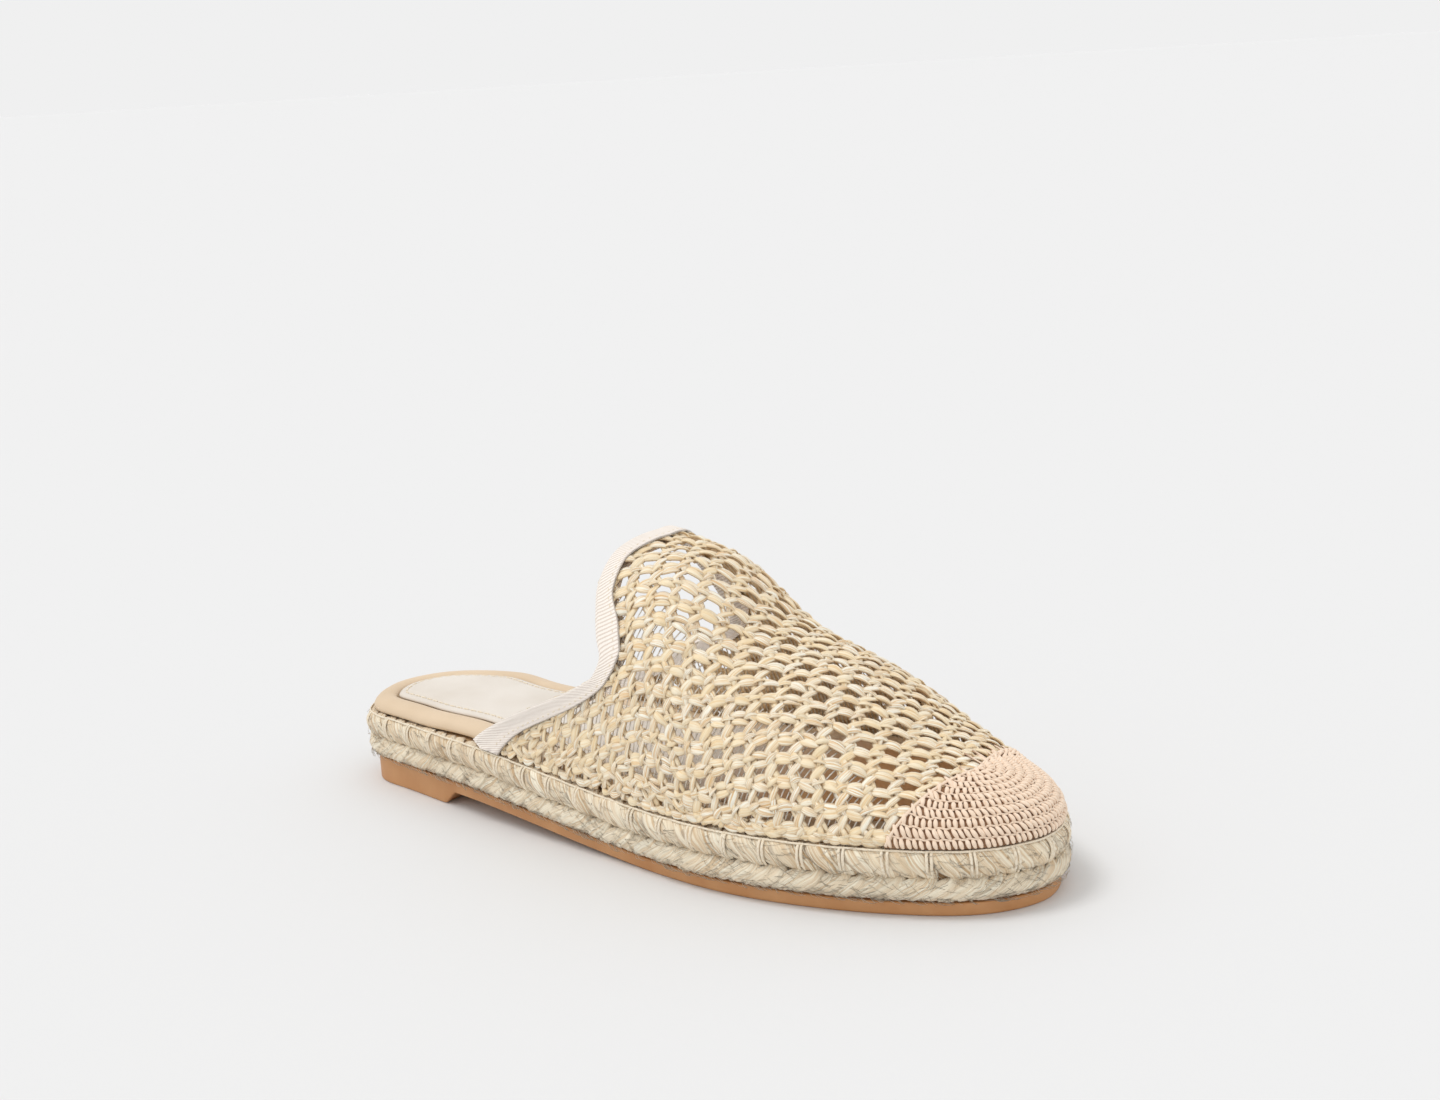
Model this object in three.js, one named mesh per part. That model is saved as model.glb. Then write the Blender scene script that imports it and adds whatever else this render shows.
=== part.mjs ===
// Raffia espadrille mule, right shoe, in millimetres.
// +X points to the toe, -Y to the outer (little toe) side and +Z up.
// The origin lies on the floor, under the middle of the sole's outline.
import * as THREE from 'three';

// Driving dimensions
const soleLength = 256;
const ballWidth = 91.2;
const instepHeight = 70;
const clearance = 0.3;

// Rubber outsole, moulded in one with a low heel
const outsoleThickness = 3.8;
const outsoleInset = 2.7;
const outsoleChamfer = 0.5;
const heelLift = 4.7;
const heelLength = 49;
const breastSlope = 5;
const heelStations = 9;
const waistStations = 10;
const toeStations = 14;

// Braided jute midsole
const braidHeight = 15;
const braidStrandPitch = 8;
const braidStrandDepth = 1;
const braidBulge = 2;
const braidLean = 0.9;

// Leather-covered insole board and its padded sock
const boardHeelInset = 2.6;
const boardRimHeight = 4.1;
const boardRimWidth = 7.8;
const boardWidening = { before: 0.12, until: 0.02 };
const insoleStations = 104;
const sockThickness = 2.2;

// Raffia upper, crochet toe cap and ribbon binding
const upperInset = 1.5;
const upperWall = 2;
const strandRise = 0.5;
const gapShare = 0.58;
const gapRows = 9;
const gapColumns = 13;
const columnsMeasuredAt = 0.64;
const footBand = 4;
const capBand = 3;
const toeCentreAlong = 0.899;
const capStep = 0.6;
const capDomeSteps = 18;
const capLevels = [0, 0.18, 0.36, 0.54, 0.7, 0.85, 1];
const domeMargin = 1;
const ribbonWidth = 7.5;
const ribbonThickness = 0.6;
const ribbonSeam = 1;

// Sole outline from the heel's back, round the outer side, the toe and the inner side:
// shares of the length and of half the ball width
const outlineTable = [
  { along: 0.000, across: -0.01 },
  { along: 0.037, across: -0.45 },
  { along: 0.130, across: -0.58 },
  { along: 0.300, across: -0.75 },
  { along: 0.480, across: -0.88 },
  { along: 0.660, across: -1.00 },
  { along: 0.800, across: -0.90 },
  { along: 0.920, across: -0.65 },
  { along: 0.980, across: -0.36 },
  { along: 1.000, across: 0.01 },
  { along: 0.965, across: 0.42 },
  { along: 0.860, across: 0.85 },
  { along: 0.740, across: 1.00 },
  { along: 0.580, across: 0.88 },
  { along: 0.420, across: 0.69 },
  { along: 0.260, across: 0.64 },
  { along: 0.130, across: 0.68 },
  { along: 0.035, across: 0.44 },
];

// Where the sole climbs from the forefoot to the heel, in shares of the length
const climb = { from: 0.583, to: 0.23 };

// Braid's side, bottom to top: share of its height, inset in bulges, how far a strand has swung
// towards the chevron's point and how deep the valley between two strands is
const braidTable = [
  { up: 0.00, inset: 0.85, swing: 0.0, valley: 0.0 },
  { up: 0.10, inset: 0.30, swing: 0.2, valley: 0.7 },
  { up: 0.26, inset: 0.00, swing: 0.5, valley: 1.0 },
  { up: 0.41, inset: 0.20, swing: 0.85, valley: 0.8 },
  { up: 0.48, inset: 0.80, swing: 1.0, valley: 0.2 },
  { up: 0.56, inset: 0.20, swing: 0.85, valley: 0.8 },
  { up: 0.74, inset: 0.00, swing: 0.5, valley: 1.0 },
  { up: 0.92, inset: 0.25, swing: 0.15, valley: 0.6 },
  { up: 1.00, inset: 0.70, swing: 0.0, valley: 0.0 },
];

// Rolled rim of the insole board: shares of the rim's width and height
const rimTable = [
  { inward: 0.00, up: 0.00 },
  { inward: 0.03, up: 0.30 },
  { inward: 0.18, up: 0.70 },
  { inward: 0.42, up: 0.94 },
  { inward: 0.68, up: 1.00 },
  { inward: 0.92, up: 0.88 },
  { inward: 1.00, up: 0.60 },
];

// Crowned sock pad: share of the rim's width inside the rim, share of its thickness
const sockTable = [
  { inward: 0.08, up: 0.00 },
  { inward: 0.08, up: 0.35 },
  { inward: 0.20, up: 0.62 },
  { inward: 0.60, up: 0.86 },
  { inward: 1.30, up: 1.00 },
];

// Arched sections of the upper: share of the length, of the instep height,
// and how boxy the arch is across (spread) and up (swell)
const archTable = [
  { along: 0.200, height: 1.000, spread: 0.80, swell: 0.80 },
  { along: 0.458, height: 0.998, spread: 0.81, swell: 0.81 },
  { along: 0.544, height: 0.947, spread: 0.85, swell: 0.82 },
  { along: 0.641, height: 0.659, spread: 0.89, swell: 0.84 },
  { along: 0.739, height: 0.500, spread: 0.92, swell: 0.85 },
  { along: 0.837, height: 0.282, spread: 0.96, swell: 0.87 },
  { along: 0.899, height: 0.186, spread: 0.99, swell: 0.88 },
];

// Collar from the sole (up 0) to the ridge (up 1) of the arch: share of the length,
// and the ribbon's reach along the shoe in ribbon widths
const collarTable = [
  { up: 0.000, along: 0.259, reach: 2.00 },
  { up: 0.070, along: 0.326, reach: 1.55 },
  { up: 0.142, along: 0.390, reach: 1.50 },
  { up: 0.217, along: 0.450, reach: 1.15 },
  { up: 0.278, along: 0.483, reach: 0.82 },
  { up: 0.340, along: 0.491, reach: 0.92 },
  { up: 0.400, along: 0.482, reach: 1.35 },
  { up: 0.470, along: 0.475, reach: 1.30 },
  { up: 0.595, along: 0.465, reach: 0.85 },
  { up: 0.744, along: 0.463, reach: 0.75 },
  { up: 0.900, along: 0.469, reach: 0.82 },
  { up: 1.000, along: 0.473, reach: 0.82 },
];

// Rear edge of the toe cap, from the sole to the ridge of the arch
const capTable = [
  { up: 0.00, along: 0.865 },
  { up: 0.35, along: 0.879 },
  { up: 0.70, along: 0.889 },
  { up: 1.00, along: toeCentreAlong },
];

const outlineSamples = 720;
const archSamples = 240;
const heelShare = 0.02;
const shareStep = 0.003;
const angleStep = 0.03;
const nearlyNothing = 0.01;
const ridgeAngle = Math.PI / 2;
const toeCentreX = placeX(toeCentreAlong);
const sockFloor = rimTable.at(-1).up * boardRimHeight;

function placeX(along) {
  return (along - 0.5) * soleLength;
}

function shareX(x) {
  return x / soleLength + 0.5;
}

// Monotone curve through a table: no overshoot between its rows
function follow(table, key, value, at) {
  const last = table.length - 1;
  const secant = table.slice(1).map((row, i) => {
    const before = table[i];
    return (row[value] - before[value]) / (row[key] - before[key]);
  });
  const slope = table.map((row, i) => {
    if (i === 0) return secant[0];
    if (i === last) return secant[last - 1];
    const [before, after] = [secant[i - 1], secant[i]];
    return before * after > 0 ? (2 * before * after) / (before + after) : 0;
  });
  const place = THREE.MathUtils.clamp(at, table[0][key], table[last][key]);
  const i = Math.min(last - 1, table.findLastIndex((row) => row[key] <= place));
  const step = table[i + 1][key] - table[i][key];
  const t = (place - table[i][key]) / step;
  return (1 + 2 * t) * (1 - t) ** 2 * table[i][value] + t * (1 - t) ** 2 * step * slope[i]
    + t * t * (3 - 2 * t) * table[i + 1][value] + t * t * (t - 1) * step * slope[i + 1];
}

// A closed solid from points and faces; equal points are shared and empty faces dropped
class Solid {
  constructor() {
    this.points = [];
    this.faces = [];
    this.known = new Map();
  }

  point(p) {
    const key = [p.x, p.y, p.z].map((v) => Math.round(v * 1e4)).join();
    if (!this.known.has(key)) {
      this.known.set(key, this.points.length);
      this.points.push(p);
    }
    return this.known.get(key);
  }

  triangle(a, b, c) {
    if (a !== b && b !== c && c !== a) this.faces.push(a, b, c);
  }

  quad(a, b, c, d) {
    this.triangle(a, b, c);
    this.triangle(a, c, d);
  }

  mesh(name, material) {
    const geometry = new THREE.BufferGeometry();
    const places = this.points.flatMap((p) => [p.x, p.y, p.z]);
    geometry.setAttribute('position', new THREE.Float32BufferAttribute(places, 3));
    geometry.setIndex(this.faces);
    geometry.computeVertexNormals();
    const mesh = new THREE.Mesh(geometry, material);
    mesh.name = name;
    return mesh;
  }
}

// Sole outline, scaled so that it measures exactly the sole length by the ball width
function makeOutline() {
  const knots = outlineTable.map((row) => (
    new THREE.Vector3(placeX(row.along), row.across * ballWidth / 2, 0)
  ));
  const curve = new THREE.CatmullRomCurve3(knots, true, 'catmullrom', 0.5);
  curve.arcLengthDivisions = 4 * outlineSamples;
  const points = curve.getSpacedPoints(outlineSamples).slice(0, -1);
  const box = new THREE.Box3().setFromPoints(points);
  const middle = box.getCenter(new THREE.Vector3());
  const size = box.getSize(new THREE.Vector3());
  const scaled = points.map((p) => new THREE.Vector2(
    (p.x - middle.x) * soleLength / size.x,
    (p.y - middle.y) * ballWidth / size.y,
  ));
  return scaled.map((p, i) => {
    const before = scaled.at(i - 1);
    const after = scaled[(i + 1) % scaled.length];
    const along = after.clone().sub(before).normalize();
    return { point: p, outward: new THREE.Vector2(along.y, -along.x) };
  });
}

const outline = makeOutline();

// Point of the sole's outline at a share of the way round, moved inwards by an inset
function soleEdge(share, inset) {
  const place = THREE.MathUtils.euclideanModulo(share, 1) * outline.length;
  const from = outline[Math.floor(place) % outline.length];
  const to = outline[(Math.floor(place) + 1) % outline.length];
  const t = place - Math.floor(place);
  const outward = from.outward.clone().lerp(to.outward, t);
  return from.point.clone().lerp(to.point, t).addScaledVector(outward, -inset);
}

// Climb of the whole sole at a place along it: 0 under the forefoot, 1 under the heel
function climbAt(x) {
  return 1 - THREE.MathUtils.smoothstep(shareX(x), climb.to, climb.from);
}

function outsoleTop(x) {
  return outsoleThickness + heelLift * climbAt(x);
}

function outsoleUnderside(x) {
  const breast = placeX(0) + heelLength;
  const thin = outsoleTop(x) - outsoleThickness;
  return thin * THREE.MathUtils.clamp((x - breast) / breastSlope, 0, 1);
}

function braidBottom(x) {
  return outsoleTop(x) + clearance;
}

function braidTop(x) {
  return braidBottom(x) + braidHeight;
}

// The outline is walked by stations along X, so that both sides meet the heel's breast alike
function stationEdge(inset) {
  const ring = outline.map((o) => o.point.clone().addScaledVector(o.outward, -inset));
  const xs = ring.map((p) => p.x);
  const heel = xs.indexOf(Math.min(...xs));
  const toe = xs.indexOf(Math.max(...xs));
  const walk = (from, to, step) => {
    const side = [];
    for (let i = from; i !== to; i = (i + step + ring.length) % ring.length) side.push(ring[i]);
    side.push(ring[to]);
    return side;
  };
  const across = (side, x) => {
    const i = Math.max(1, side.findIndex((p) => p.x >= x));
    const t = (x - side[i - 1].x) / (side[i].x - side[i - 1].x || 1);
    return THREE.MathUtils.lerp(side[i - 1].y, side[i].y, THREE.MathUtils.clamp(t, 0, 1));
  };
  const outer = walk(heel, toe, 1);
  const inner = walk(heel, toe, -1);
  return {
    heel: ring[heel],
    toe: ring[toe],
    outer: (x) => across(outer, x),
    inner: (x) => across(inner, x),
  };
}

// Stations between two places, crowded towards the ends that are asked for
function spread(from, to, count, crowdStart, crowdEnd) {
  return Array.from({ length: count }, (_, i) => {
    const t = i / count;
    const start = 1 - Math.cos(t * Math.PI / 2);
    const end = Math.sin(t * Math.PI / 2);
    const share = crowdStart ? start : crowdEnd ? end : t;
    return THREE.MathUtils.lerp(from, to, share);
  });
}

function outsoleStations(heelX, toeX) {
  const breast = placeX(0) + heelLength;
  const bend = breast + breastSlope;
  const flat = placeX(climb.from);
  return [
    ...spread(heelX, breast, heelStations, true, false),
    breast,
    ...spread(bend, flat, waistStations, false, false),
    ...spread(flat, toeX, toeStations, false, true),
    toeX,
  ];
}

// Joins rings of points, bottom to top, and closes both ends with strips across the shoe
function loft(rings) {
  const solid = new Solid();
  const ids = rings.map((ring) => ring.map((p) => solid.point(p)));
  const count = rings[0].length;
  for (let r = 0; r < rings.length - 1; r += 1) {
    for (let i = 0; i < count; i += 1) {
      const next = (i + 1) % count;
      solid.quad(ids[r][i], ids[r][next], ids[r + 1][next], ids[r + 1][i]);
    }
  }
  const [bottom, top] = [ids[0], ids.at(-1)];
  for (let i = 0; i < count / 2; i += 1) {
    const [a, b] = [i, i + 1];
    const [c, d] = [(count - i - 1) % count, (count - i) % count];
    solid.quad(top[a], top[b], top[c], top[d]);
    solid.quad(bottom[d], bottom[c], bottom[b], bottom[a]);
  }
  return solid;
}

function outsoleRing(inset, height) {
  const edge = stationEdge(inset);
  const stations = outsoleStations(edge.heel.x, edge.toe.x);
  const middle = stations.slice(1, -1);
  return [
    new THREE.Vector3(edge.heel.x, edge.heel.y, height(edge.heel.x)),
    ...middle.map((x) => new THREE.Vector3(x, edge.outer(x), height(x))),
    new THREE.Vector3(edge.toe.x, edge.toe.y, height(edge.toe.x)),
    ...middle.toReversed().map((x) => new THREE.Vector3(x, edge.inner(x), height(x))),
  ];
}

function makeOutsole() {
  return loft([
    outsoleRing(outsoleInset + outsoleChamfer, outsoleUnderside),
    outsoleRing(outsoleInset, (x) => outsoleUnderside(x) + outsoleChamfer),
    outsoleRing(outsoleInset, outsoleTop),
  ]);
}

function outlineLength() {
  return outline.reduce((sum, o, i) => {
    const next = outline[(i + 1) % outline.length];
    return sum + o.point.distanceTo(next.point);
  }, 0);
}

// Two plaited rows: strands are lobes with valleys between, leaning to the groove's chevrons
function makeBraid() {
  const strands = Math.round(outlineLength() / braidStrandPitch);
  const count = 2 * strands;
  const rings = braidTable.map((row) => Array.from({ length: count }, (_, i) => {
    const swing = 2 * braidLean * row.swing;
    const valley = (i % 2) * row.valley * braidStrandDepth;
    const p = soleEdge((i + swing) / count, row.inset * braidBulge + valley);
    return new THREE.Vector3(p.x, p.y, braidBottom(p.x) + row.up * braidHeight);
  }));
  return loft(rings);
}

// The insole board sits between the feet of the upper and widens behind them, at the heel
function boardInset(x) {
  const insideUpper = upperInset + upperWall + ribbonThickness + 3 * clearance;
  const ribbonFoot = shareX(placeX(collarTable[0].along));
  const start = ribbonFoot - boardWidening.before;
  const end = ribbonFoot - boardWidening.until;
  const widening = THREE.MathUtils.smoothstep(shareX(x), start, end);
  return THREE.MathUtils.lerp(boardHeelInset, insideUpper, widening);
}

function insoleRing(inward, rise) {
  return Array.from({ length: insoleStations }, (_, i) => {
    const edge = soleEdge(i / insoleStations, 0);
    const p = soleEdge(i / insoleStations, boardInset(edge.x) + inward);
    return new THREE.Vector3(p.x, p.y, braidTop(p.x) + clearance + rise);
  });
}

function makeInsoleBoard() {
  return loft(rimTable.map((row) => (
    insoleRing(row.inward * boardRimWidth, row.up * boardRimHeight)
  )));
}

function makeSockPad() {
  return loft(sockTable.map((row) => insoleRing(
    (1 + row.inward) * boardRimWidth,
    sockFloor + clearance + row.up * sockThickness,
  )));
}

// Share of the way round the outline where the upper's foot stands at a given X
const footShares = makeFootShares();

function makeFootShares() {
  const feet = outline.map((_, i) => {
    const share = i / outline.length;
    return { share, x: soleEdge(share, upperInset).x };
  });
  const toe = feet.reduce((best, f) => (f.x > best.x ? f : best));
  const outer = feet.filter((f) => f.share <= toe.share && f.share > heelShare);
  const inner = feet.filter((f) => f.share >= toe.share && f.share < 1 - heelShare).toReversed();
  return { outer, inner, toe: toe.share };
}

function footShare(x, innerSide) {
  const side = innerSide ? footShares.inner : footShares.outer;
  const i = THREE.MathUtils.clamp(side.findIndex((f) => f.x >= x), 1, side.length - 1);
  const t = (x - side[i - 1].x) / (side[i].x - side[i - 1].x);
  return THREE.MathUtils.lerp(side[i - 1].share, side[i].share, t);
}

// The upper's one surface: from its foot on the outline (angle 0) to the ridge (a quarter turn).
// Ahead of the toe centre every section runs to that one point, so the toe is a dome.
function upperSurface(share, angle) {
  const foot = soleEdge(share, upperInset);
  const ridgeX = Math.min(foot.x, toeCentreX);
  const along = shareX(ridgeX);
  const inward = 1 - Math.max(0, Math.cos(angle)) ** follow(archTable, 'along', 'spread', along);
  const upward = Math.sin(angle) ** follow(archTable, 'along', 'swell', along);
  const footZ = braidTop(foot.x) + clearance;
  const height = follow(archTable, 'along', 'height', along) * instepHeight;
  const ridgeZ = braidTop(ridgeX) + clearance + height;
  return new THREE.Vector3(
    THREE.MathUtils.lerp(foot.x, ridgeX, inward),
    THREE.MathUtils.lerp(foot.y, 0, inward),
    THREE.MathUtils.lerp(footZ, ridgeZ, upward),
  );
}

function upperNormal(share, angle) {
  const atRidge = angle > ridgeAngle - nearlyNothing;
  const atDome = atRidge && soleEdge(share, upperInset).x > toeCentreX;
  const place = atDome ? footShare(toeCentreX - domeMargin, false) : share;
  const ahead = upperSurface(place + shareStep, angle).sub(upperSurface(place - shareStep, angle));
  const high = upperSurface(place, Math.min(ridgeAngle, angle + angleStep));
  const rise = high.sub(upperSurface(place, Math.max(0, angle - angleStep)));
  const normal = ahead.cross(rise).normalize();
  return atRidge ? normal.setY(0).normalize() : normal;
}

// Point at an offset outside the upper's surface
function offUpper(share, angle, offset) {
  const normal = upperNormal(share, angle);
  if (angle < nearlyNothing) normal.setZ(0).normalize();
  return upperSurface(share, angle).addScaledVector(normal, offset);
}

// The same by place along the shoe and turn: 0 at the outer foot, half a turn at the inner foot
function offArch(x, turn, offset) {
  const innerSide = turn > ridgeAngle;
  const angle = innerSide ? Math.PI - turn : turn;
  return offUpper(footShare(x, innerSide), angle, offset);
}

function upShare(turn) {
  return 1 - Math.abs(turn - ridgeAngle) / ridgeAngle;
}

function collarX(turn, inRibbon) {
  const up = upShare(turn);
  const edge = placeX(follow(collarTable, 'up', 'along', up));
  return edge + inRibbon * follow(collarTable, 'up', 'reach', up);
}

function capX(turn) {
  return placeX(follow(capTable, 'up', 'along', upShare(turn)));
}

// Turns that part the arch evenly, with a narrow band along each foot
function makeColumnTurns() {
  const x = placeX(columnsMeasuredAt);
  const places = Array.from({ length: archSamples + 1 }, (_, i) => (
    offArch(x, Math.PI * i / archSamples, 0)
  ));
  const lengths = places.map((p, i) => (i ? p.distanceTo(places[i - 1]) : 0));
  const reached = lengths.reduce((sums, length) => [...sums, (sums.at(-1) ?? 0) + length], []);
  const total = reached.at(-1);
  const turnAt = (length) => {
    const i = THREE.MathUtils.clamp(reached.findIndex((r) => r >= length), 1, archSamples);
    const t = (length - reached[i - 1]) / (reached[i] - reached[i - 1]);
    return Math.PI * (i - 1 + t) / archSamples;
  };
  const steps = 2 * gapColumns;
  const inner = Array.from({ length: steps + 1 }, (_, i) => (
    footBand + (total - 2 * footBand) * i / steps
  ));
  return [0, footBand / 2, ...inner, total - footBand / 2, total].map(turnAt);
}

const columnTurns = makeColumnTurns();

// Places along one column: a band under the ribbon, the pierced rows, a band at the cap
function rowPlaces(turn) {
  const edge = collarX(turn, ribbonThickness + clearance);
  const seam = collarX(turn, ribbonWidth + ribbonSeam);
  const end = capX(turn) - clearance;
  const front = end - capBand;
  const steps = 2 * gapRows;
  const pierced = Array.from({ length: steps + 1 }, (_, i) => (
    THREE.MathUtils.lerp(seam, front, i / steps)
  ));
  return [edge, (edge + seam) / 2, ...pierced, (front + end) / 2, end];
}

// One wall of woven strips: every crossing stands proud, strips pass over and under each
// other between the crossings, and each field between four crossings has a diamond gap
function makeMeshUpper() {
  const solid = new Solid();
  const places = columnTurns.map(rowPlaces);
  const [rows, columns] = [places[0].length - 1, columnTurns.length - 1];
  const pierced = (j, i) => j >= 2 && j < rows - 2 && i >= 2 && i < columns - 2;
  const rise = (j, i) => {
    const plain = j <= 2 || i <= 2 || j >= rows - 2 || i >= columns - 2;
    if (plain) return 0;
    if (j % 2 === 0 && i % 2 === 0) return strandRise;
    const over = (Math.floor(j / 2) + Math.floor(i / 2) + (j % 2)) % 2;
    return over ? strandRise : strandRise / 3;
  };
  const lay = (side) => columnTurns.map((turn, i) => places[i].map((x, j) => {
    const offset = side > 0 ? rise(j, i) : -upperWall;
    return solid.point(offArch(x, turn, offset));
  }));
  const faces = [lay(1), lay(-1)];
  const blend = (a, b, t) => THREE.MathUtils.lerp(a, b, t);
  const diamond = (j, i, side) => {
    const middleTurn = columnTurns[i + 1];
    const middleX = places[i + 1][j + 1];
    const offset = side > 0 ? 0 : -upperWall;
    const corners = [
      [middleX, blend(middleTurn, columnTurns[i], gapShare)],
      [blend(middleX, places[i + 1][j + 2], gapShare), middleTurn],
      [middleX, blend(middleTurn, columnTurns[i + 2], gapShare)],
      [blend(middleX, places[i + 1][j], gapShare), middleTurn],
    ];
    return corners.map(([x, turn]) => solid.point(offArch(x, turn, offset)));
  };
  for (let i = 0; i < columns; i += 2) {
    for (let j = 0; j < rows; j += 2) {
      const loops = faces.map((grid) => [
        grid[i][j], grid[i][j + 1], grid[i][j + 2], grid[i + 1][j + 2],
        grid[i + 2][j + 2], grid[i + 2][j + 1], grid[i + 2][j], grid[i + 1][j],
      ]);
      if (pierced(j, i)) {
        const gaps = [diamond(j, i, 1), diamond(j, i, -1)];
        weaveField(solid, loops[0], gaps[0], false);
        weaveField(solid, loops[1], gaps[1], true);
        for (let k = 0; k < 4; k += 1) {
          const next = (k + 1) % 4;
          solid.quad(gaps[0][k], gaps[0][next], gaps[1][next], gaps[1][k]);
        }
      } else {
        const centres = faces.map((grid) => grid[i + 1][j + 1]);
        for (let k = 0; k < 8; k += 1) {
          const next = (k + 1) % 8;
          solid.triangle(loops[0][k], loops[0][next], centres[0]);
          solid.triangle(loops[1][next], loops[1][k], centres[1]);
        }
      }
    }
  }
  closeWall(solid, faces[0], faces[1]);
  return solid;
}

// Faces between the eight points round a field and the four corners of its gap
function weaveField(solid, loop, gap, flipped) {
  const face = (a, b, c) => (flipped ? solid.triangle(c, b, a) : solid.triangle(a, b, c));
  for (let k = 0; k < 4; k += 1) {
    const corner = loop[2 * k];
    const middle = loop[2 * k + 1];
    const nextCorner = loop[(2 * k + 2) % 8];
    face(corner, middle, gap[k]);
    face(middle, nextCorner, gap[k]);
    face(nextCorner, gap[(k + 1) % 4], gap[k]);
  }
}

// Edge faces all round a wall given as two grids of point numbers
function closeWall(solid, outside, inside) {
  const [columns, rows] = [outside.length - 1, outside[0].length - 1];
  for (let j = 0; j < rows; j += 1) {
    solid.quad(outside[0][j + 1], outside[0][j], inside[0][j], inside[0][j + 1]);
    const [near, far] = [outside[columns], inside[columns]];
    solid.quad(near[j], near[j + 1], far[j + 1], far[j]);
  }
  for (let i = 0; i < columns; i += 1) {
    solid.quad(outside[i][0], outside[i + 1][0], inside[i + 1][0], inside[i][0]);
    solid.quad(outside[i + 1][rows], outside[i][rows], inside[i][rows], inside[i + 1][rows]);
  }
}

// Stations round the toe: up the cap's rear edge, round the dome, down the other rear edge
function capStations() {
  const edgeTurns = columnTurns.filter((turn, i) => i % 2 === 0 && turn < ridgeAngle - angleStep);
  const from = footShare(toeCentreX, false);
  const to = footShare(toeCentreX, true);
  const dome = Array.from({ length: capDomeSteps + 1 }, (_, i) => ({
    share: THREE.MathUtils.lerp(from, to, i / capDomeSteps),
    top: ridgeAngle,
  }));
  const side = (innerSide) => edgeTurns.map((turn) => ({
    share: footShare(capX(turn), innerSide),
    top: turn,
  }));
  return [...side(false), ...dome, ...side(true).toReversed()];
}

function makeToeCap() {
  const solid = new Solid();
  const stations = capStations();
  const lay = (offset) => capLevels.map((level) => stations.map(({ share, top }) => (
    solid.point(offUpper(share, level * top, offset))
  )));
  const [outside, inside] = [lay(capStep), lay(-upperWall)];
  for (let i = 0; i < outside.length - 1; i += 1) {
    for (let j = 0; j < outside[0].length - 1; j += 1) {
      solid.quad(outside[i][j], outside[i][j + 1], outside[i + 1][j + 1], outside[i + 1][j]);
      solid.quad(inside[i + 1][j], inside[i + 1][j + 1], inside[i][j + 1], inside[i][j]);
    }
  }
  closeWall(solid, outside, inside);
  return solid;
}

// Folded ribbon: a flap outside, a fold over the collar and a flap inside
function makeBinding() {
  const outer = clearance + ribbonThickness;
  const inner = -upperWall - clearance;
  const half = ribbonWidth / 2;
  const section = [
    [ribbonWidth, outer], [half, outer], [ribbonThickness / 2, outer], [0, clearance],
    [0, inner], [ribbonThickness / 2, inner - ribbonThickness], [half, inner - ribbonThickness],
    [ribbonWidth, inner - ribbonThickness], [ribbonWidth, inner], [half, inner],
    [ribbonThickness, inner], [ribbonThickness, clearance], [half, clearance],
    [ribbonWidth, clearance],
  ];
  const solid = new Solid();
  const rings = columnTurns.map((turn) => section.map(([reach, offset]) => (
    solid.point(offArch(collarX(turn, reach), turn, offset))
  )));
  for (let i = 0; i < rings.length - 1; i += 1) {
    for (let k = 0; k < section.length; k += 1) {
      const next = (k + 1) % section.length;
      solid.quad(rings[i + 1][k], rings[i + 1][next], rings[i][next], rings[i][k]);
    }
  }
  const profile = section.map(([x, y]) => new THREE.Vector2(x, y));
  const ends = THREE.ShapeUtils.triangulateShape(profile, []);
  for (const [a, b, c] of ends) {
    solid.triangle(rings[0][a], rings[0][b], rings[0][c]);
    solid.triangle(rings.at(-1)[c], rings.at(-1)[b], rings.at(-1)[a]);
  }
  return solid;
}

const rubber = new THREE.MeshStandardMaterial({ color: 0xb8865a, roughness: 0.6, metalness: 0 });
const jute = new THREE.MeshStandardMaterial({ color: 0xd6bf97, roughness: 0.95, metalness: 0 });
const leather = new THREE.MeshStandardMaterial({ color: 0xdcc4a0, roughness: 0.5, metalness: 0 });
const sockCloth = new THREE.MeshStandardMaterial({ color: 0xe4dacb, roughness: 0.7, metalness: 0 });
const raffia = new THREE.MeshStandardMaterial({ color: 0xe3cc9f, roughness: 0.8, metalness: 0 });
const cotton = new THREE.MeshStandardMaterial({ color: 0xf0d4b9, roughness: 0.95, metalness: 0 });
const ribbon = new THREE.MeshStandardMaterial({ color: 0xebdacd, roughness: 0.8, metalness: 0 });

const sole = new THREE.Group();
sole.add(
  makeOutsole().mesh('outsole', rubber),
  makeBraid().mesh('braided_midsole', jute),
  makeInsoleBoard().mesh('insole_board', leather),
  makeSockPad().mesh('sock_pad', sockCloth),
);

const upper = new THREE.Group();
upper.add(
  makeMeshUpper().mesh('mesh_upper', raffia),
  makeToeCap().mesh('toe_cap', cotton),
  makeBinding().mesh('collar_binding', ribbon),
);

const mule = new THREE.Group();
mule.add(sole, upper);

export default mule;
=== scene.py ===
"""Raffia espadrille mule, right shoe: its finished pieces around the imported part.

Everything is in metres. +X points to the toe, -Y to the outer side and +Z up. A share of
the way round starts at the heel's back and runs along the outer side to the toe.
"""

from __future__ import annotations

import logging
import math
from dataclasses import dataclass, field, replace
from enum import Enum
from itertools import product
from typing import Callable, Sequence

import bmesh
import bpy
import numpy as np
from mathutils import Matrix, Vector

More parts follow.
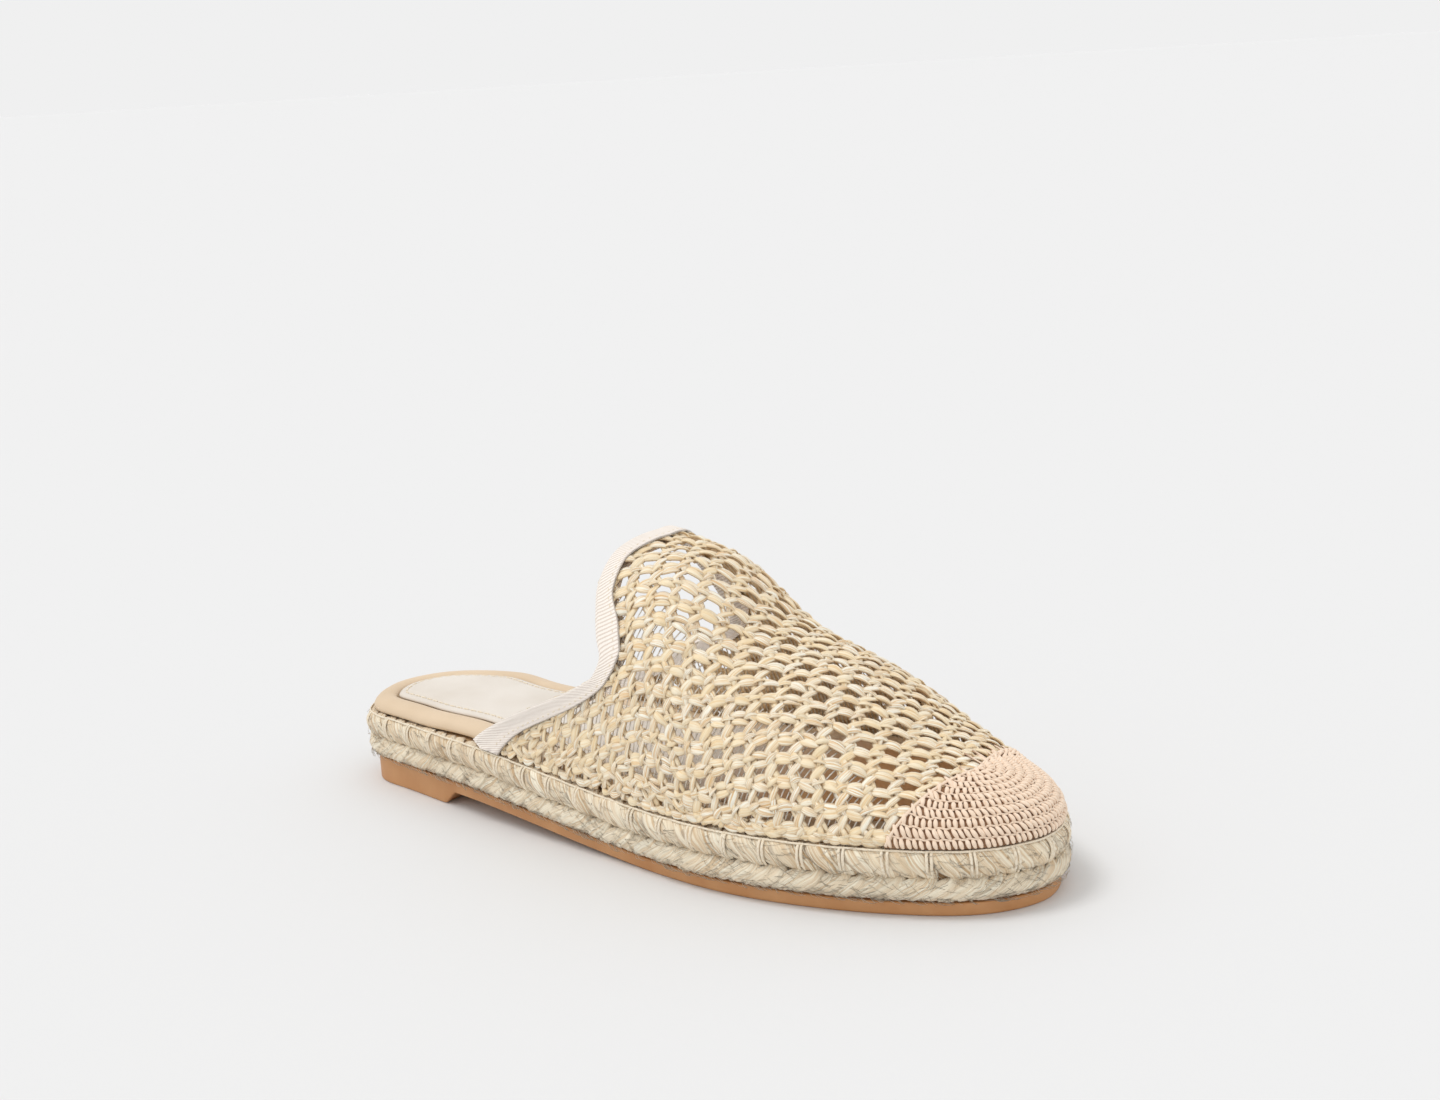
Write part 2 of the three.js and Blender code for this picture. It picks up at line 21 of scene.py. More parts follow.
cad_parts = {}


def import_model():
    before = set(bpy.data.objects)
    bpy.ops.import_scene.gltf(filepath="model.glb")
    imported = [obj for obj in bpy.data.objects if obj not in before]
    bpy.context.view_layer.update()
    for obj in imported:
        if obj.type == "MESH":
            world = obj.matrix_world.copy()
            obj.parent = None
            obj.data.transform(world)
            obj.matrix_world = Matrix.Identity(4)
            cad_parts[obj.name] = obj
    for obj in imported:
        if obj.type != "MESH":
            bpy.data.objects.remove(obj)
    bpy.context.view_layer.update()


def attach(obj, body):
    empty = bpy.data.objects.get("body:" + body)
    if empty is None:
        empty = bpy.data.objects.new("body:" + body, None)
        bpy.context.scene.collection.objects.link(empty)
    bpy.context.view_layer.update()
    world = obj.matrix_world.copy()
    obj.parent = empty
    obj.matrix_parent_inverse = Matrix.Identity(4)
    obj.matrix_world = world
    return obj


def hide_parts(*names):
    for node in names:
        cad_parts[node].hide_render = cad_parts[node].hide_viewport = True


LOG = logging.getLogger("mule")
MM = 0.001
TINY = 1e-6
TURN = 2 * math.pi
RIDGE = math.pi / 2
FOOT_TURN = 0.02
SECTIONS = (0.200, 0.458, 0.544, 0.641, 0.739, 0.837, 0.899)
COLLAR_MARKS = (0, 0.07, 0.142, 0.217, 0.278, 0.34, 0.4, 0.47, 0.595, 0.744, 0.9, 1)
STRAND_MARKS = (0, 0.14, 0.32, 0.55, 0.78, 0.92, 1)
TWISTED_TWINE = {"plies": 3, "ply_depth": 0.2, "twist": 2}
LOOSE_CHAIN = {"plies": 2, "ply_depth": 0.2, "twist": 1}
CROCHET_YARN = {"plies": 3, "ply_depth": 0.12, "twist": 0.5}
SOCK_THREAD = {"plies": 3, "ply_depth": 0.15, "twist": 1}
RIBBON_THREAD = {"plies": 2, "ply_depth": 0.15, "twist": 1}

Colour = tuple[float, float, float]
Pair = tuple[float, float]
Array = np.ndarray


class Side(Enum):
    """The two sides of the shoe, by the sign of Y."""

    OUTER = -1
    INNER = 1


def mix(a: Array | float, b: Array | float, t: Array | float) -> Array | float:
    """Returns the value at t between a and b."""
    return a + (b - a) * t


def smooth(t: Array | float) -> Array:
    """Returns an eased share: flat at 0 and at 1."""
    t = np.clip(t, 0.0, 1.0)
    return t * t * (3 - 2 * t)


def hump(share: Array) -> Array:
    """Returns 0 at both ends of a strand and 1 at its middle."""
    return np.sin(share * math.pi)


def taper(share: Array, blunt: float, fullness: float) -> Array:
    """Returns a strand's thickness along it, as a share of its thickest.

    Args:
        share: places along the strand, from 0 to 1.
        blunt: how much of each end has the end's own thickness.
        fullness: how slowly it thickens from its ends; near 0 is the fullest.

    Returns:
        The shares.
    """
    return hump(np.clip(share, blunt, 1 - blunt)) ** fullness


def stitch_rings(share: Array, number: int, cover: float) -> Array:
    """Finds where one stitch of a seam lies.

    Args:
        share: places along the stitch, from 0 to 1.
        number: the stitch's number.
        cover: how much of its pitch the thread covers.

    Returns:
        The places along the seam, counted in stitches.
    """
    return number + (1 - cover) / 2 + share * cover


def unit(vectors: Array) -> Array:
    """Returns vectors of length one."""
    return vectors / np.maximum(np.linalg.norm(vectors, axis=-1, keepdims=True), TINY**2)


def reached(points: Array) -> Array:
    """Returns the length walked along a line of points, from 0 at its first point."""
    steps = np.linalg.norm(np.diff(points, axis=0), axis=1)
    return np.concatenate([[0.0], np.cumsum(steps)])


@dataclass(frozen=True)
class Curve:
    """A monotone curve through named points, with no overshoot between them."""

    at: tuple[float, ...]
    value: tuple[float, ...]

    def __call__(self, place: Array | float) -> Array:
        """Reads the curve.

        Args:
            place: where to read it, kept within its first and last point.

        Returns:
            The values there.
        """
        at, value = np.array(self.at), np.array(self.value)
        secant = np.diff(value) / np.diff(at)
        before, after = secant[:-1], secant[1:]
        same = before * after > 0
        total = np.where(same, before + after, 1.0)
        inner = np.where(same, 2 * before * after / total, 0.0)
        slope = np.concatenate([secant[:1], inner, secant[-1:]])
        place = np.clip(place, at[0], at[-1])
        i = np.clip(np.searchsorted(at, place, side="right") - 1, 0, len(at) - 2)
        step = at[i + 1] - at[i]
        t = (place - at[i]) / step
        return (
            (1 + 2 * t) * (1 - t) ** 2 * value[i]
            + t * (1 - t) ** 2 * step * slope[i]
            + t * t * (3 - 2 * t) * value[i + 1]
            + t * t * (t - 1) * step * slope[i + 1]
        )


@dataclass
class Last:
    """The form the shoe is built on: sole outline, climb to the heel and stacked heights."""

    length: float = 256 * MM
    ball_width: float = 91.2 * MM
    outsole: float = 3.8 * MM
    heel_lift: float = 4.7 * MM
    heel_length: float = 49 * MM
    breast_slope: float = 5 * MM
    braid_height: float = 15 * MM
    clearance: float = 0.3 * MM
    climb_from: float = 0.583
    climb_to: float = 0.23
    outline: tuple[tuple[float, float], ...] = (
        (0.000, -0.01), (0.037, -0.45), (0.130, -0.58), (0.300, -0.75), (0.480, -0.88),
        (0.660, -1.00), (0.800, -0.90), (0.920, -0.65), (0.980, -0.36), (1.000, 0.01),
        (0.965, 0.42), (0.860, 0.85), (0.740, 1.00), (0.580, 0.88), (0.420, 0.69),
        (0.260, 0.64), (0.130, 0.68), (0.035, 0.44),
    )
    samples: int = 1440
    span_steps: int = 60
    points: Array = field(init=False)
    outward: Array = field(init=False)
    girth: float = field(init=False)

    def __post_init__(self) -> None:
        """Draws the outline, evenly spaced, at exactly the sole's length and width."""
        knots = np.array(self.outline)
        knots = np.column_stack([knots[:, 0] - 0.5, knots[:, 1] / 2])
        knots = knots * [self.length, self.ball_width]
        t = np.linspace(0, 1, self.span_steps, endpoint=False)[:, None]
        spans = []
        for i in range(len(knots)):
            before, start, end, after = (knots[(i + k) % len(knots)] for k in (-1, 0, 1, 2))
            leave, arrive = (end - before) / 2, (after - start) / 2
            spans.append(
                (2 * t**3 - 3 * t**2 + 1) * start + (t**3 - 2 * t**2 + t) * leave
                + (3 * t**2 - 2 * t**3) * end + (t**3 - t**2) * arrive
            )
        fine = np.vstack([*spans, spans[0][:1]])
        walked = reached(fine)
        even = np.linspace(0, walked[-1], self.samples, endpoint=False)
        ring = np.column_stack([np.interp(even, walked, fine[:, k]) for k in (0, 1)])
        low, high = ring.min(0), ring.max(0)
        ring = (ring - (low + high) / 2) * [self.length, self.ball_width] / (high - low)
        along = unit(np.roll(ring, -1, 0) - np.roll(ring, 1, 0))
        self.points = ring
        self.outward = np.column_stack([along[:, 1], -along[:, 0]])
        self.girth = float(np.linalg.norm(np.roll(ring, -1, 0) - ring, axis=1).sum())

    def edge(self, share: Array, inset: Array | float) -> Array:
        """Finds points of the sole's outline, moved inwards.

        Args:
            share: shares of the way round, of any size.
            inset: how far inwards they move, one for each or one for all.

        Returns:
            Their X and Y, one row each.
        """
        place = np.mod(share, 1.0) * self.samples
        i = np.floor(place).astype(int) % self.samples
        t = (place - np.floor(place))[..., None]
        after = (i + 1) % self.samples
        outward = mix(self.outward[i], self.outward[after], t)
        inset = np.asarray(inset)[..., None] * np.ones_like(t)
        return mix(self.points[i], self.points[after], t) - outward * inset

    def strips(self, width: float) -> Array:
        """Returns X places that part the sole's length into strips of this width."""
        half = self.length / 2
        return np.arange(-half + width, half, width)

    def place_x(self, along: Array | float) -> Array | float:
        """Returns X at a share of the length."""
        return (along - 0.5) * self.length

    def along(self, x: Array | float) -> Array | float:
        """Returns the share of the length at X."""
        return x / self.length + 0.5

    def outsole_top(self, x: Array) -> Array:
        """Returns the height of the outsole's upper face."""
        share = (self.along(x) - self.climb_to) / (self.climb_from - self.climb_to)
        return self.outsole + self.heel_lift * (1 - smooth(share))

    def outsole_underside(self, x: Array) -> Array:
        """Returns the height of the outsole's lower face, flat under the heel."""
        breast = self.place_x(0) + self.heel_length
        open_share = np.clip((x - breast) / self.breast_slope, 0, 1)
        return (self.outsole_top(x) - self.outsole) * open_share

    def braid_bottom(self, x: Array) -> Array:
        """Returns the height of the braid's lower edge."""
        return self.outsole_top(x) + self.clearance

    def braid_top(self, x: Array) -> Array:
        """Returns the height of the braid's upper edge."""
        return self.braid_bottom(x) + self.braid_height


@dataclass
class UpperForm:
    """The one surface that net, cap and ribbon lie on, by share and by angle of the arch."""

    last: Last
    inset: float = 1.5 * MM
    wall: float = 2 * MM
    instep: float = 70 * MM
    toe_centre: float = 0.899
    height: Curve = Curve(SECTIONS, (1.000, 0.998, 0.947, 0.659, 0.500, 0.282, 0.186))
    spread: Curve = Curve(SECTIONS, (0.80, 0.81, 0.85, 0.89, 0.92, 0.96, 0.99))
    swell: Curve = Curve(SECTIONS, (0.80, 0.81, 0.82, 0.84, 0.85, 0.87, 0.88))
    collar: Curve = Curve(
        COLLAR_MARKS,
        (0.259, 0.326, 0.39, 0.45, 0.483, 0.491, 0.482, 0.475, 0.465, 0.463, 0.469, 0.473),
    )
    reach: Curve = Curve(
        COLLAR_MARKS, (2, 1.55, 1.5, 1.15, 0.82, 0.92, 1.35, 1.3, 0.85, 0.75, 0.82, 0.82)
    )
    cap: Curve = Curve((0, 0.35, 0.7, 1), (0.865, 0.879, 0.889, 0.899))
    cloth_from: float = 0.25
    cloth_rows: int = 180
    cloth_steps: int = 96
    heel_share: float = 0.02
    share_step: float = 0.003
    angle_step: float = 0.03
    edge_angle: float = 0.01

    def __post_init__(self) -> None:
        """Finds the foot of the arch on both sides and measures its sections."""
        share = np.arange(self.last.samples) / self.last.samples
        foot_x = self.last.edge(share, self.inset)[:, 0]
        toe = int(np.argmax(foot_x))
        heel_skip = int(self.last.samples * self.heel_share)
        outer = np.arange(heel_skip, toe + 1)
        inner = np.arange(toe, self.last.samples - heel_skip)[::-1]
        self.feet = {
            Side.OUTER: (foot_x[outer], share[outer]),
            Side.INNER: (foot_x[inner], share[inner]),
        }
        self.toe_x = self.last.place_x(self.toe_centre)
        self.rows_x = np.linspace(self.last.place_x(self.cloth_from), self.toe_x, self.cloth_rows)
        self.drape = {side: self._measure(side) for side in Side}

    def _measure(self, side: Side) -> tuple[Array, Array]:
        """Measures every section of one side from the ridge down to the foot.

        Args:
            side: the side to measure.

        Returns:
            The sections' lengths, and for even shares of each length the angle there.
        """
        angles = np.linspace(RIDGE, 0, 4 * self.cloth_steps)
        lengths, table = [], []
        for x in self.rows_x:
            share = np.full(len(angles), self.foot_share(x, side))
            walked = reached(self.surface(share, angles))
            lengths.append(walked[-1])
            even = np.linspace(0, walked[-1], self.cloth_steps)
            table.append(np.interp(even, walked, angles))
        return np.array(lengths), np.array(table)

    def foot_share(self, x: Array | float, side: Side) -> Array:
        """Returns the share of the way round where the arch's foot stands at X."""
        xs, shares = self.feet[side]
        return np.interp(x, xs, shares)

    def surface(self, share: Array, angle: Array) -> Array:
        """Finds points of the upper's surface.

        Args:
            share: shares of the way round the sole, where the foot of the arch stands.
            angle: 0 at the foot to a quarter turn at the ridge.

        Returns:
            The points, one row each.
        """
        foot = self.last.edge(share, self.inset)
        ridge_x = np.minimum(foot[..., 0], self.toe_x)
        along = self.last.along(ridge_x)
        inward = 1 - np.maximum(0, np.cos(angle)) ** self.spread(along)
        upward = np.maximum(0, np.sin(angle)) ** self.swell(along)
        foot_z = self.last.braid_top(foot[..., 0]) + self.last.clearance
        ridge_z = self.last.braid_top(ridge_x) + self.last.clearance
        ridge_z = ridge_z + self.height(along) * self.instep
        return np.stack(
            [
                mix(foot[..., 0], ridge_x, inward),
                mix(foot[..., 1], 0.0, inward),
                mix(foot_z, ridge_z, upward),
            ],
            axis=-1,
        )

    def normal(self, share: Array, angle: Array) -> Array:
        """Finds the outward directions at points of the surface.

        Args:
            share: shares of the way round the sole.
            angle: 0 at the foot to a quarter turn at the ridge.

        Returns:
            The directions, level at the foot and upright across the shoe at the ridge.
        """
        foot_x = self.last.edge(share, self.inset)[..., 0]
        at_ridge = angle > RIDGE - self.edge_angle
        at_dome = (foot_x > self.toe_x) & at_ridge
        share = np.where(at_dome, self.foot_share(self.toe_x - MM, Side.OUTER), share)
        ahead = self.surface(share + self.share_step, angle)
        ahead = ahead - self.surface(share - self.share_step, angle)
        rise = self.surface(share, np.minimum(RIDGE, angle + self.angle_step))
        rise = rise - self.surface(share, np.maximum(0, angle - self.angle_step))
        normal = unit(np.cross(ahead, rise))
        normal[..., 1] = np.where(at_ridge, 0, normal[..., 1])
        normal[..., 2] = np.where(angle < self.edge_angle, 0, normal[..., 2])
        return unit(normal)

    def at(self, x: Array, turn: Array, lift: Array | float) -> tuple[Array, Array]:
        """Finds points of the arch by place along the shoe.

        Args:
            x: places along the shoe.
            turn: 0 at the outer foot, a quarter turn at the ridge, half at the inner foot.
            lift: how far outside the surface they lie.

        Returns:
            The points and the outward directions.
        """
        inner = turn > RIDGE
        angle = np.where(inner, math.pi - turn, turn)
        share = np.where(
            inner, self.foot_share(x, Side.INNER), self.foot_share(x, Side.OUTER)
        )
        out = self.normal(share, angle)
        lift = np.asarray(lift)[..., None]
        return self.surface(share, angle) + out * lift, out

    def cloth(self, x: Array, drop: Array) -> tuple[Array, Array, Array]:
        """Turns places on the flat cloth into places on the arch.

        Args:
            x: places along the shoe.
            drop: lengths from the ridge, positive down the outer side.

        Returns:
            X, the turn of the arch, and how far each place is from the foot.
        """
        x = np.clip(x, self.rows_x[0], self.rows_x[-1])
        row = (x - self.rows_x[0]) / (self.rows_x[1] - self.rows_x[0])
        low = np.clip(np.floor(row).astype(int), 0, self.cloth_rows - 2)
        t = row - low
        turn, left = np.zeros_like(x), np.zeros_like(x)
        for side in Side:
            lengths, table = self.drape[side]
            length = mix(lengths[low], lengths[low + 1], t)
            step = np.clip(np.abs(drop) / length, 0, 1) * (self.cloth_steps - 1)
            k = np.clip(np.floor(step).astype(int), 0, self.cloth_steps - 2)
            u = step - k
            angle = mix(
                mix(table[low, k], table[low, k + 1], u),
                mix(table[low + 1, k], table[low + 1, k + 1], u),
                t,
            )
            here = (drop >= 0) == (side is Side.OUTER)
            turn = np.where(here, angle if side is Side.OUTER else math.pi - angle, turn)
            left = np.where(here, length - np.abs(drop), left)
        return x, turn, left

    def up_share(self, turn: Array) -> Array:
        """Returns 0 at either foot of the arch and 1 at its ridge."""
        return 1 - np.abs(turn - RIDGE) / RIDGE

    def collar_x(self, turn: Array, inward: Array | float) -> Array:
        """Returns X at a distance inside the collar's edge, measured across the ribbon."""
        up = self.up_share(turn)
        return self.last.place_x(self.collar(up)) + inward * self.reach(up)

    def cap_x(self, turn: Array) -> Array:
        """Returns X of the toe cap's rear edge."""
        return self.last.place_x(self.cap(self.up_share(turn)))


class StrandPress:
    """Bends copies of one closed strand along courses and gathers them in one mesh."""

    def __init__(self, sides: int, rings: int) -> None:
        """Makes the straight strand.

        Args:
            sides: corners of its section.
            rings: sections along it.
        """
        bm = bmesh.new()
        bmesh.ops.create_cone(
            bm, cap_ends=True, segments=sides, radius1=1, radius2=1, depth=rings - 1
        )
        upright = [e for e in bm.edges if abs(e.verts[0].co.z - e.verts[1].co.z) > 0.5]
        bmesh.ops.subdivide_edges(bm, edges=upright, cuts=rings - 2)
        bmesh.ops.translate(bm, verts=bm.verts, vec=(0, 0, (rings - 1) / 2))
        strand_uv = bm.loops.layers.uv.new("Strand")
        reach_uv = bm.loops.layers.uv.new("Reach")
        for face in bm.faces:
            middle = face.calc_center_median()
            round_middle = self._around(middle)
            flat = abs(face.normal.z) > 0.5
            for loop in face.loops:
                around = round_middle if flat else self._around(loop.vert.co)
                around += round(round_middle - around)
                loop[strand_uv].uv = (around, loop.vert.co.z / (rings - 1))
                # The Reach map's place along the strand and height round it set the painted shade
                # at tips and underside
                height = (loop.vert.co.y + 1) / 2
                loop[reach_uv].uv = (loop.vert.co.z / (rings - 1), height)
        self.form = bpy.data.meshes.new("strand_form")
        bm.to_mesh(self.form)
        bm.free()
        self.form.shade_smooth()
        corners = np.zeros(3 * len(self.form.vertices))
        self.form.vertices.foreach_get("co", corners)
        corners = corners.reshape(-1, 3)
        self.ring = np.rint(corners[:, 2]).astype(int)
        self.angle = np.arctan2(corners[:, 1], corners[:, 0])
        self.uv = np.zeros(2 * len(self.form.loops))
        self.form.uv_layers["Strand"].data.foreach_get("uv", self.uv)
        self.uv = self.uv.reshape(-1, 2)
        self.share = np.linspace(0, 1, rings)
        self.laid = 0
        self.bm = bmesh.new()

    @staticmethod
    def _around(corner: Vector) -> float:
        """Returns the share of a turn from the strand's underside."""
        return (math.atan2(corner.y, corner.x) / TURN + 0.25) % 1.0

    def lay(
        self,
        points: Array,
        outward: Array,
        half_width: Array | float,
        half_thick: Array | float,
        roll: Array | float = 0.0,
        plies: int = 0,
        ply_depth: float = 0.0,
        twist: float = 0.0,
    ) -> None:
        """Bends one strand along a course.

        Args:
            points: one point for each ring.
            outward: the direction its face looks in at each ring.
            half_width: half its width, at each ring or everywhere.
            half_thick: half its thickness, at each ring or everywhere.
            roll: how far its face turns about the course, in radians.
            plies: number of plies that show round it.
            ply_depth: depth of the grooves between them, as a share of its size.
            twist: turns that the plies make from end to end.
        """
        along = unit(np.gradient(points, axis=0))
        across = unit(np.cross(outward, along))
        face = np.cross(along, across)
        roll = np.broadcast_to(roll, len(points))[:, None]
        turned = across * np.cos(roll) + face * np.sin(roll)
        face = face * np.cos(roll) - across * np.sin(roll)
        wide = np.broadcast_to(half_width, len(points))[self.ring, None]
        thick = np.broadcast_to(half_thick, len(points))[self.ring, None]
        wave = np.cos(plies * self.angle - twist * TURN * self.share[self.ring])
        swell = (1 - ply_depth * (1 - wave) / 2)[:, None]
        around = np.cos(self.angle)[:, None] * wide * turned[self.ring]
        above = np.sin(self.angle)[:, None] * thick * face[self.ring]
        corners = points[self.ring] + (around + above) * swell
        self.form.vertices.foreach_set("co", corners.ravel())
        length = reached(points)[-1] / max(float(np.max(half_width)), TINY)
        uv = self.uv * [1, length] + [self.laid, 0]
        self.form.uv_layers["Strand"].data.foreach_set("uv", uv.ravel())
        self.bm.from_mesh(self.form)
        self.laid += 1

    def piece(self, name: str) -> bpy.types.Object:
        """Closes the press and returns what was laid as one object."""
        obj = as_object(name, self.bm)
        bpy.data.meshes.remove(self.form)
        return obj


def in_scene(name: str, data: bpy.types.ID) -> bpy.types.Object:
    """Returns a new object of the scene that shows a mesh, a light or a camera."""
    obj = bpy.data.objects.new(name, data)
    bpy.context.scene.collection.objects.link(obj)
    return obj


def as_object(name: str, bm: bmesh.types.BMesh) -> bpy.types.Object:
    """Turns a finished bmesh into a smooth-shaded object of the scene and frees it."""
    mesh = bpy.data.meshes.new(name)
    bm.to_mesh(mesh)
    bm.free()
    mesh.shade_smooth()
    return in_scene(name, mesh)


def loft(rings: Sequence[Array], cuts: Sequence[float] = ()) -> bmesh.types.BMesh:
    """Draws a closed form through rings of points, by extruding one circle from ring to ring.

    Args:
        rings: the rings in order, each with the same number of points.
        cuts: X places where the two end faces are cut across into flat strips.

    Returns:
        The closed form, with its ring and station numbers in a UV map named Loft.
    """
    count = len(rings[0])
    bm = bmesh.new()
    station = bm.verts.layers.int.new("station")
    level = bm.verts.layers.int.new("level")
    bmesh.ops.create_circle(bm, segments=count, radius=1)
    for vert in bm.verts:
        turn = math.atan2(vert.co.y, vert.co.x) / TURN
        vert[station] = round(turn * count) % count
        vert.co = rings[0][vert[station]]
    edges = bm.edges[:]
    ends = [edges]
    for number, ring in enumerate(rings[1:], 1):
        grown = bmesh.ops.extrude_edge_only(bm, edges=edges)["geom"]
        edges = [e for e in grown if isinstance(e, bmesh.types.BMEdge)]
        for vert in grown:
            if isinstance(vert, bmesh.types.BMVert):
                vert.co = ring[vert[station]]
                vert[level] = number
    ends.append(edges)
    uv = bm.loops.layers.uv.new("Loft")
    for face in bm.faces:
        wraps = {loop.vert[station] for loop in face.loops} >= {0, count - 1}
        for loop in face.loops:
            round_share = loop.vert[station] / count
            if wraps and loop.vert[station] == 0:
                round_share = 1.0
            loop[uv].uv = (round_share, loop.vert[level] / (len(rings) - 1))
    for end in ends:
        bmesh.ops.contextual_create(bm, geom=end)
    for x in cuts:
        wide = [f for f in bm.faces if len(f.verts) > 4]
        geom = wide + list({e for f in wide for e in f.edges})
        geom += list({v for f in wide for v in f.verts})
        bmesh.ops.bisect_plane(bm, geom=geom, plane_co=(x, 0, 0), plane_no=(1, 0, 0))
    bmesh.ops.recalc_face_normals(bm, faces=bm.faces)
    return bm


def wall(
    columns: int,
    rows: int,
    place: Callable[[Array, Array, float], Array],
    lifts: Pair,
) -> bmesh.types.BMesh:
    """Draws a closed wall from a grid that is bent into place and extruded inwards.

    Args:
        columns: faces along it.
        rows: faces up it.
        place: gives the points for shares along and up at a lift.
        lifts: lift of its outer and of its inner face.

    Returns:
        The closed wall.
    """
    bm = bmesh.new()
    bmesh.ops.create_grid(bm, x_segments=columns, y_segments=rows, size=0.5)
    along = bm.verts.layers.float.new("along")
    up = bm.verts.layers.float.new("up")
    for vert in bm.verts:
        vert[along], vert[up] = vert.co.x + 0.5, vert.co.y + 0.5
    outside = bm.verts[:]
    grown = bmesh.ops.extrude_face_region(bm, geom=bm.faces[:])["geom"]
    inside = [v for v in grown if isinstance(v, bmesh.types.BMVert)]
    for verts, lift in ((outside, lifts[0]), (inside, lifts[1])):
        shares = np.array([(v[along], v[up]) for v in verts])
        for vert, point in zip(verts, place(shares[:, 0], shares[:, 1], lift)):
            vert.co = point
    bmesh.ops.remove_doubles(bm, verts=bm.verts, dist=TINY)
    bmesh.ops.recalc_face_normals(bm, faces=bm.faces)
    return bm


class Wire:
    """A shader socket that takes part in Python expressions."""

    def __init__(self, sheet: ShaderSheet, socket: bpy.types.NodeSocket) -> None:
        """Wraps one output socket of a sheet's node."""
        self.sheet = sheet
        self.socket = socket

    def __add__(self, other: Wire | float) -> Wire:
        """Returns the sum."""
        return self.sheet.maths("ADD", self, other)

    def __radd__(self, other: float) -> Wire:
        """Returns the sum."""
        return self.sheet.maths("ADD", other, self)

    def __sub__(self, other: Wire | float) -> Wire:
        """Returns the difference."""
        return self.sheet.maths("SUBTRACT", self, other)

    def __rsub__(self, other: float) -> Wire:
        """Returns the difference."""
        return self.sheet.maths("SUBTRACT", other, self)

    def __mul__(self, other: Wire | float) -> Wire:
        """Returns the product."""
        return self.sheet.maths("MULTIPLY", self, other)

    def __rmul__(self, other: float) -> Wire:
        """Returns the product."""
        return self.sheet.maths("MULTIPLY", other, self)

    def __truediv__(self, other: Wire | float) -> Wire:
        """Returns the quotient."""
        return self.sheet.maths("DIVIDE", self, other)

    def __rtruediv__(self, other: float) -> Wire:
        """Returns the quotient."""
        return self.sheet.maths("DIVIDE", other, self)


class ShaderSheet:
    """One material while its nodes are laid out."""

    def __init__(self, name: str) -> None:
        """Starts an empty material."""
        self.material = bpy.data.materials.new(name)
        self.material.use_nodes = True
        self.tree = self.material.node_tree
        self.tree.nodes.clear()

    def node(
        self,
        kind: str,
        settings: dict[str, object] | None = None,
        inputs: dict[str | int, object] | None = None,
    ) -> bpy.types.Node:
        """Adds a node.

        Args:
            kind: the node's type.
            settings: its own settings, which are set first.
            inputs: values or wires of its sockets.

        Returns:
            The node.
        """
        node = self.tree.nodes.new(kind)
        for name, value in (settings or {}).items():
            setattr(node, name, value)
        for key, value in (inputs or {}).items():
            if isinstance(value, Wire):
                self.tree.links.new(value.socket, node.inputs[key])
            else:
                node.inputs[key].default_value = value
        return node

    def out(self, node: bpy.types.Node, output: str | int = 0) -> Wire:
        """Returns one output of a node as a wire."""
        return Wire(self, node.outputs[output])

    def maths(self, operation: str, *values: Wire | float) -> Wire:
        """Returns the result of a Math node."""
        inputs = dict(enumerate(values))
        return self.out(self.node("ShaderNodeMath", {"operation": operation}, inputs))

    def clamp(self, value: Wire) -> Wire:
        """Returns a value kept from 0 to 1."""
        return self.out(self.node("ShaderNodeClamp", inputs={"Value": value}))

    def blend(self, share: Wire | float, a: Wire | Colour, b: Wire | Colour) -> Wire:
        """Returns the colour at a share between a and b."""
        a = a if isinstance(a, Wire) else (*a, 1)
        b = b if isinstance(b, Wire) else (*b, 1)
        settings = {"data_type": "RGBA"}
        return self.out(self.node("ShaderNodeMix", settings, {0: share, 6: a, 7: b}), 2)

    def axes(self, vector: Wire) -> tuple[Wire, Wire, Wire]:
        """Returns the three parts of a vector."""
        node = self.node("ShaderNodeSeparateXYZ", inputs={"Vector": vector})
        return self.out(node, 0), self.out(node, 1), self.out(node, 2)

    def vector(self, x: Wire | float, y: Wire | float, z: Wire | float) -> Wire:
        """Returns a vector of three parts."""
        return self.out(self.node("ShaderNodeCombineXYZ", inputs={0: x, 1: y, 2: z}))

    def uv(self, name: str) -> tuple[Wire, Wire]:
        """Returns the two parts of the piece's own UV map."""
        node = self.node("ShaderNodeUVMap", {"uv_map": name})
        u, v, _ = self.axes(self.out(node))
        return u, v

    def place(self) -> Wire:
        """Returns the place on the object, in metres."""
        return self.out(self.node("ShaderNodeTexCoord"), "Object")

    def noise(self, vector: Wire, scale: float, detail: float, rough: float = 0.5) -> Wire:
        """Returns a soft noise from 0 to 1."""
        inputs = {"Vector": vector, "Scale": scale, "Detail": detail, "Roughness": rough}
        return self.out(self.node("ShaderNodeTexNoise", inputs=inputs), "Fac")

    def bump(self, height: Wire, depth: float, strength: float) -> Wire:
        """Returns the normal of a surface with this height over it, in metres."""
        inputs = {"Height": height, "Distance": depth, "Strength": strength}
        return self.out(self.node("ShaderNodeBump", inputs=inputs))

    def finish(
        self,
        base: Wire,
        rough: Wire | float,
        normal: Wire | None,
        constants: dict[str, object],
    ) -> bpy.types.Material:
        """Joins the shader.

        Args:
            base: the base colour.
            rough: the roughness.
            normal: the bumped normal, if any.
            constants: values that are the same all over the surface.

        Returns:
            The finished material.
        """
        inputs = {"Base Color": base, "Roughness": rough, **constants}
        if normal is not None:
            inputs["Normal"] = normal
        shader = self.node("ShaderNodeBsdfPrincipled", inputs=inputs)
        self.node("ShaderNodeOutputMaterial", inputs={"Surface": self.out(shader)})
        return self.material


def srgb(red: int, green: int, blue: int) -> Colour:
    """Returns a colour given as it shows on screen, from 0 to 255, in linear light."""
    shares = (red / 255, green / 255, blue / 255)
    return tuple(s / 12.92 if s <= 0.04045 else ((s + 0.055) / 1.055) ** 2.4 for s in shares)


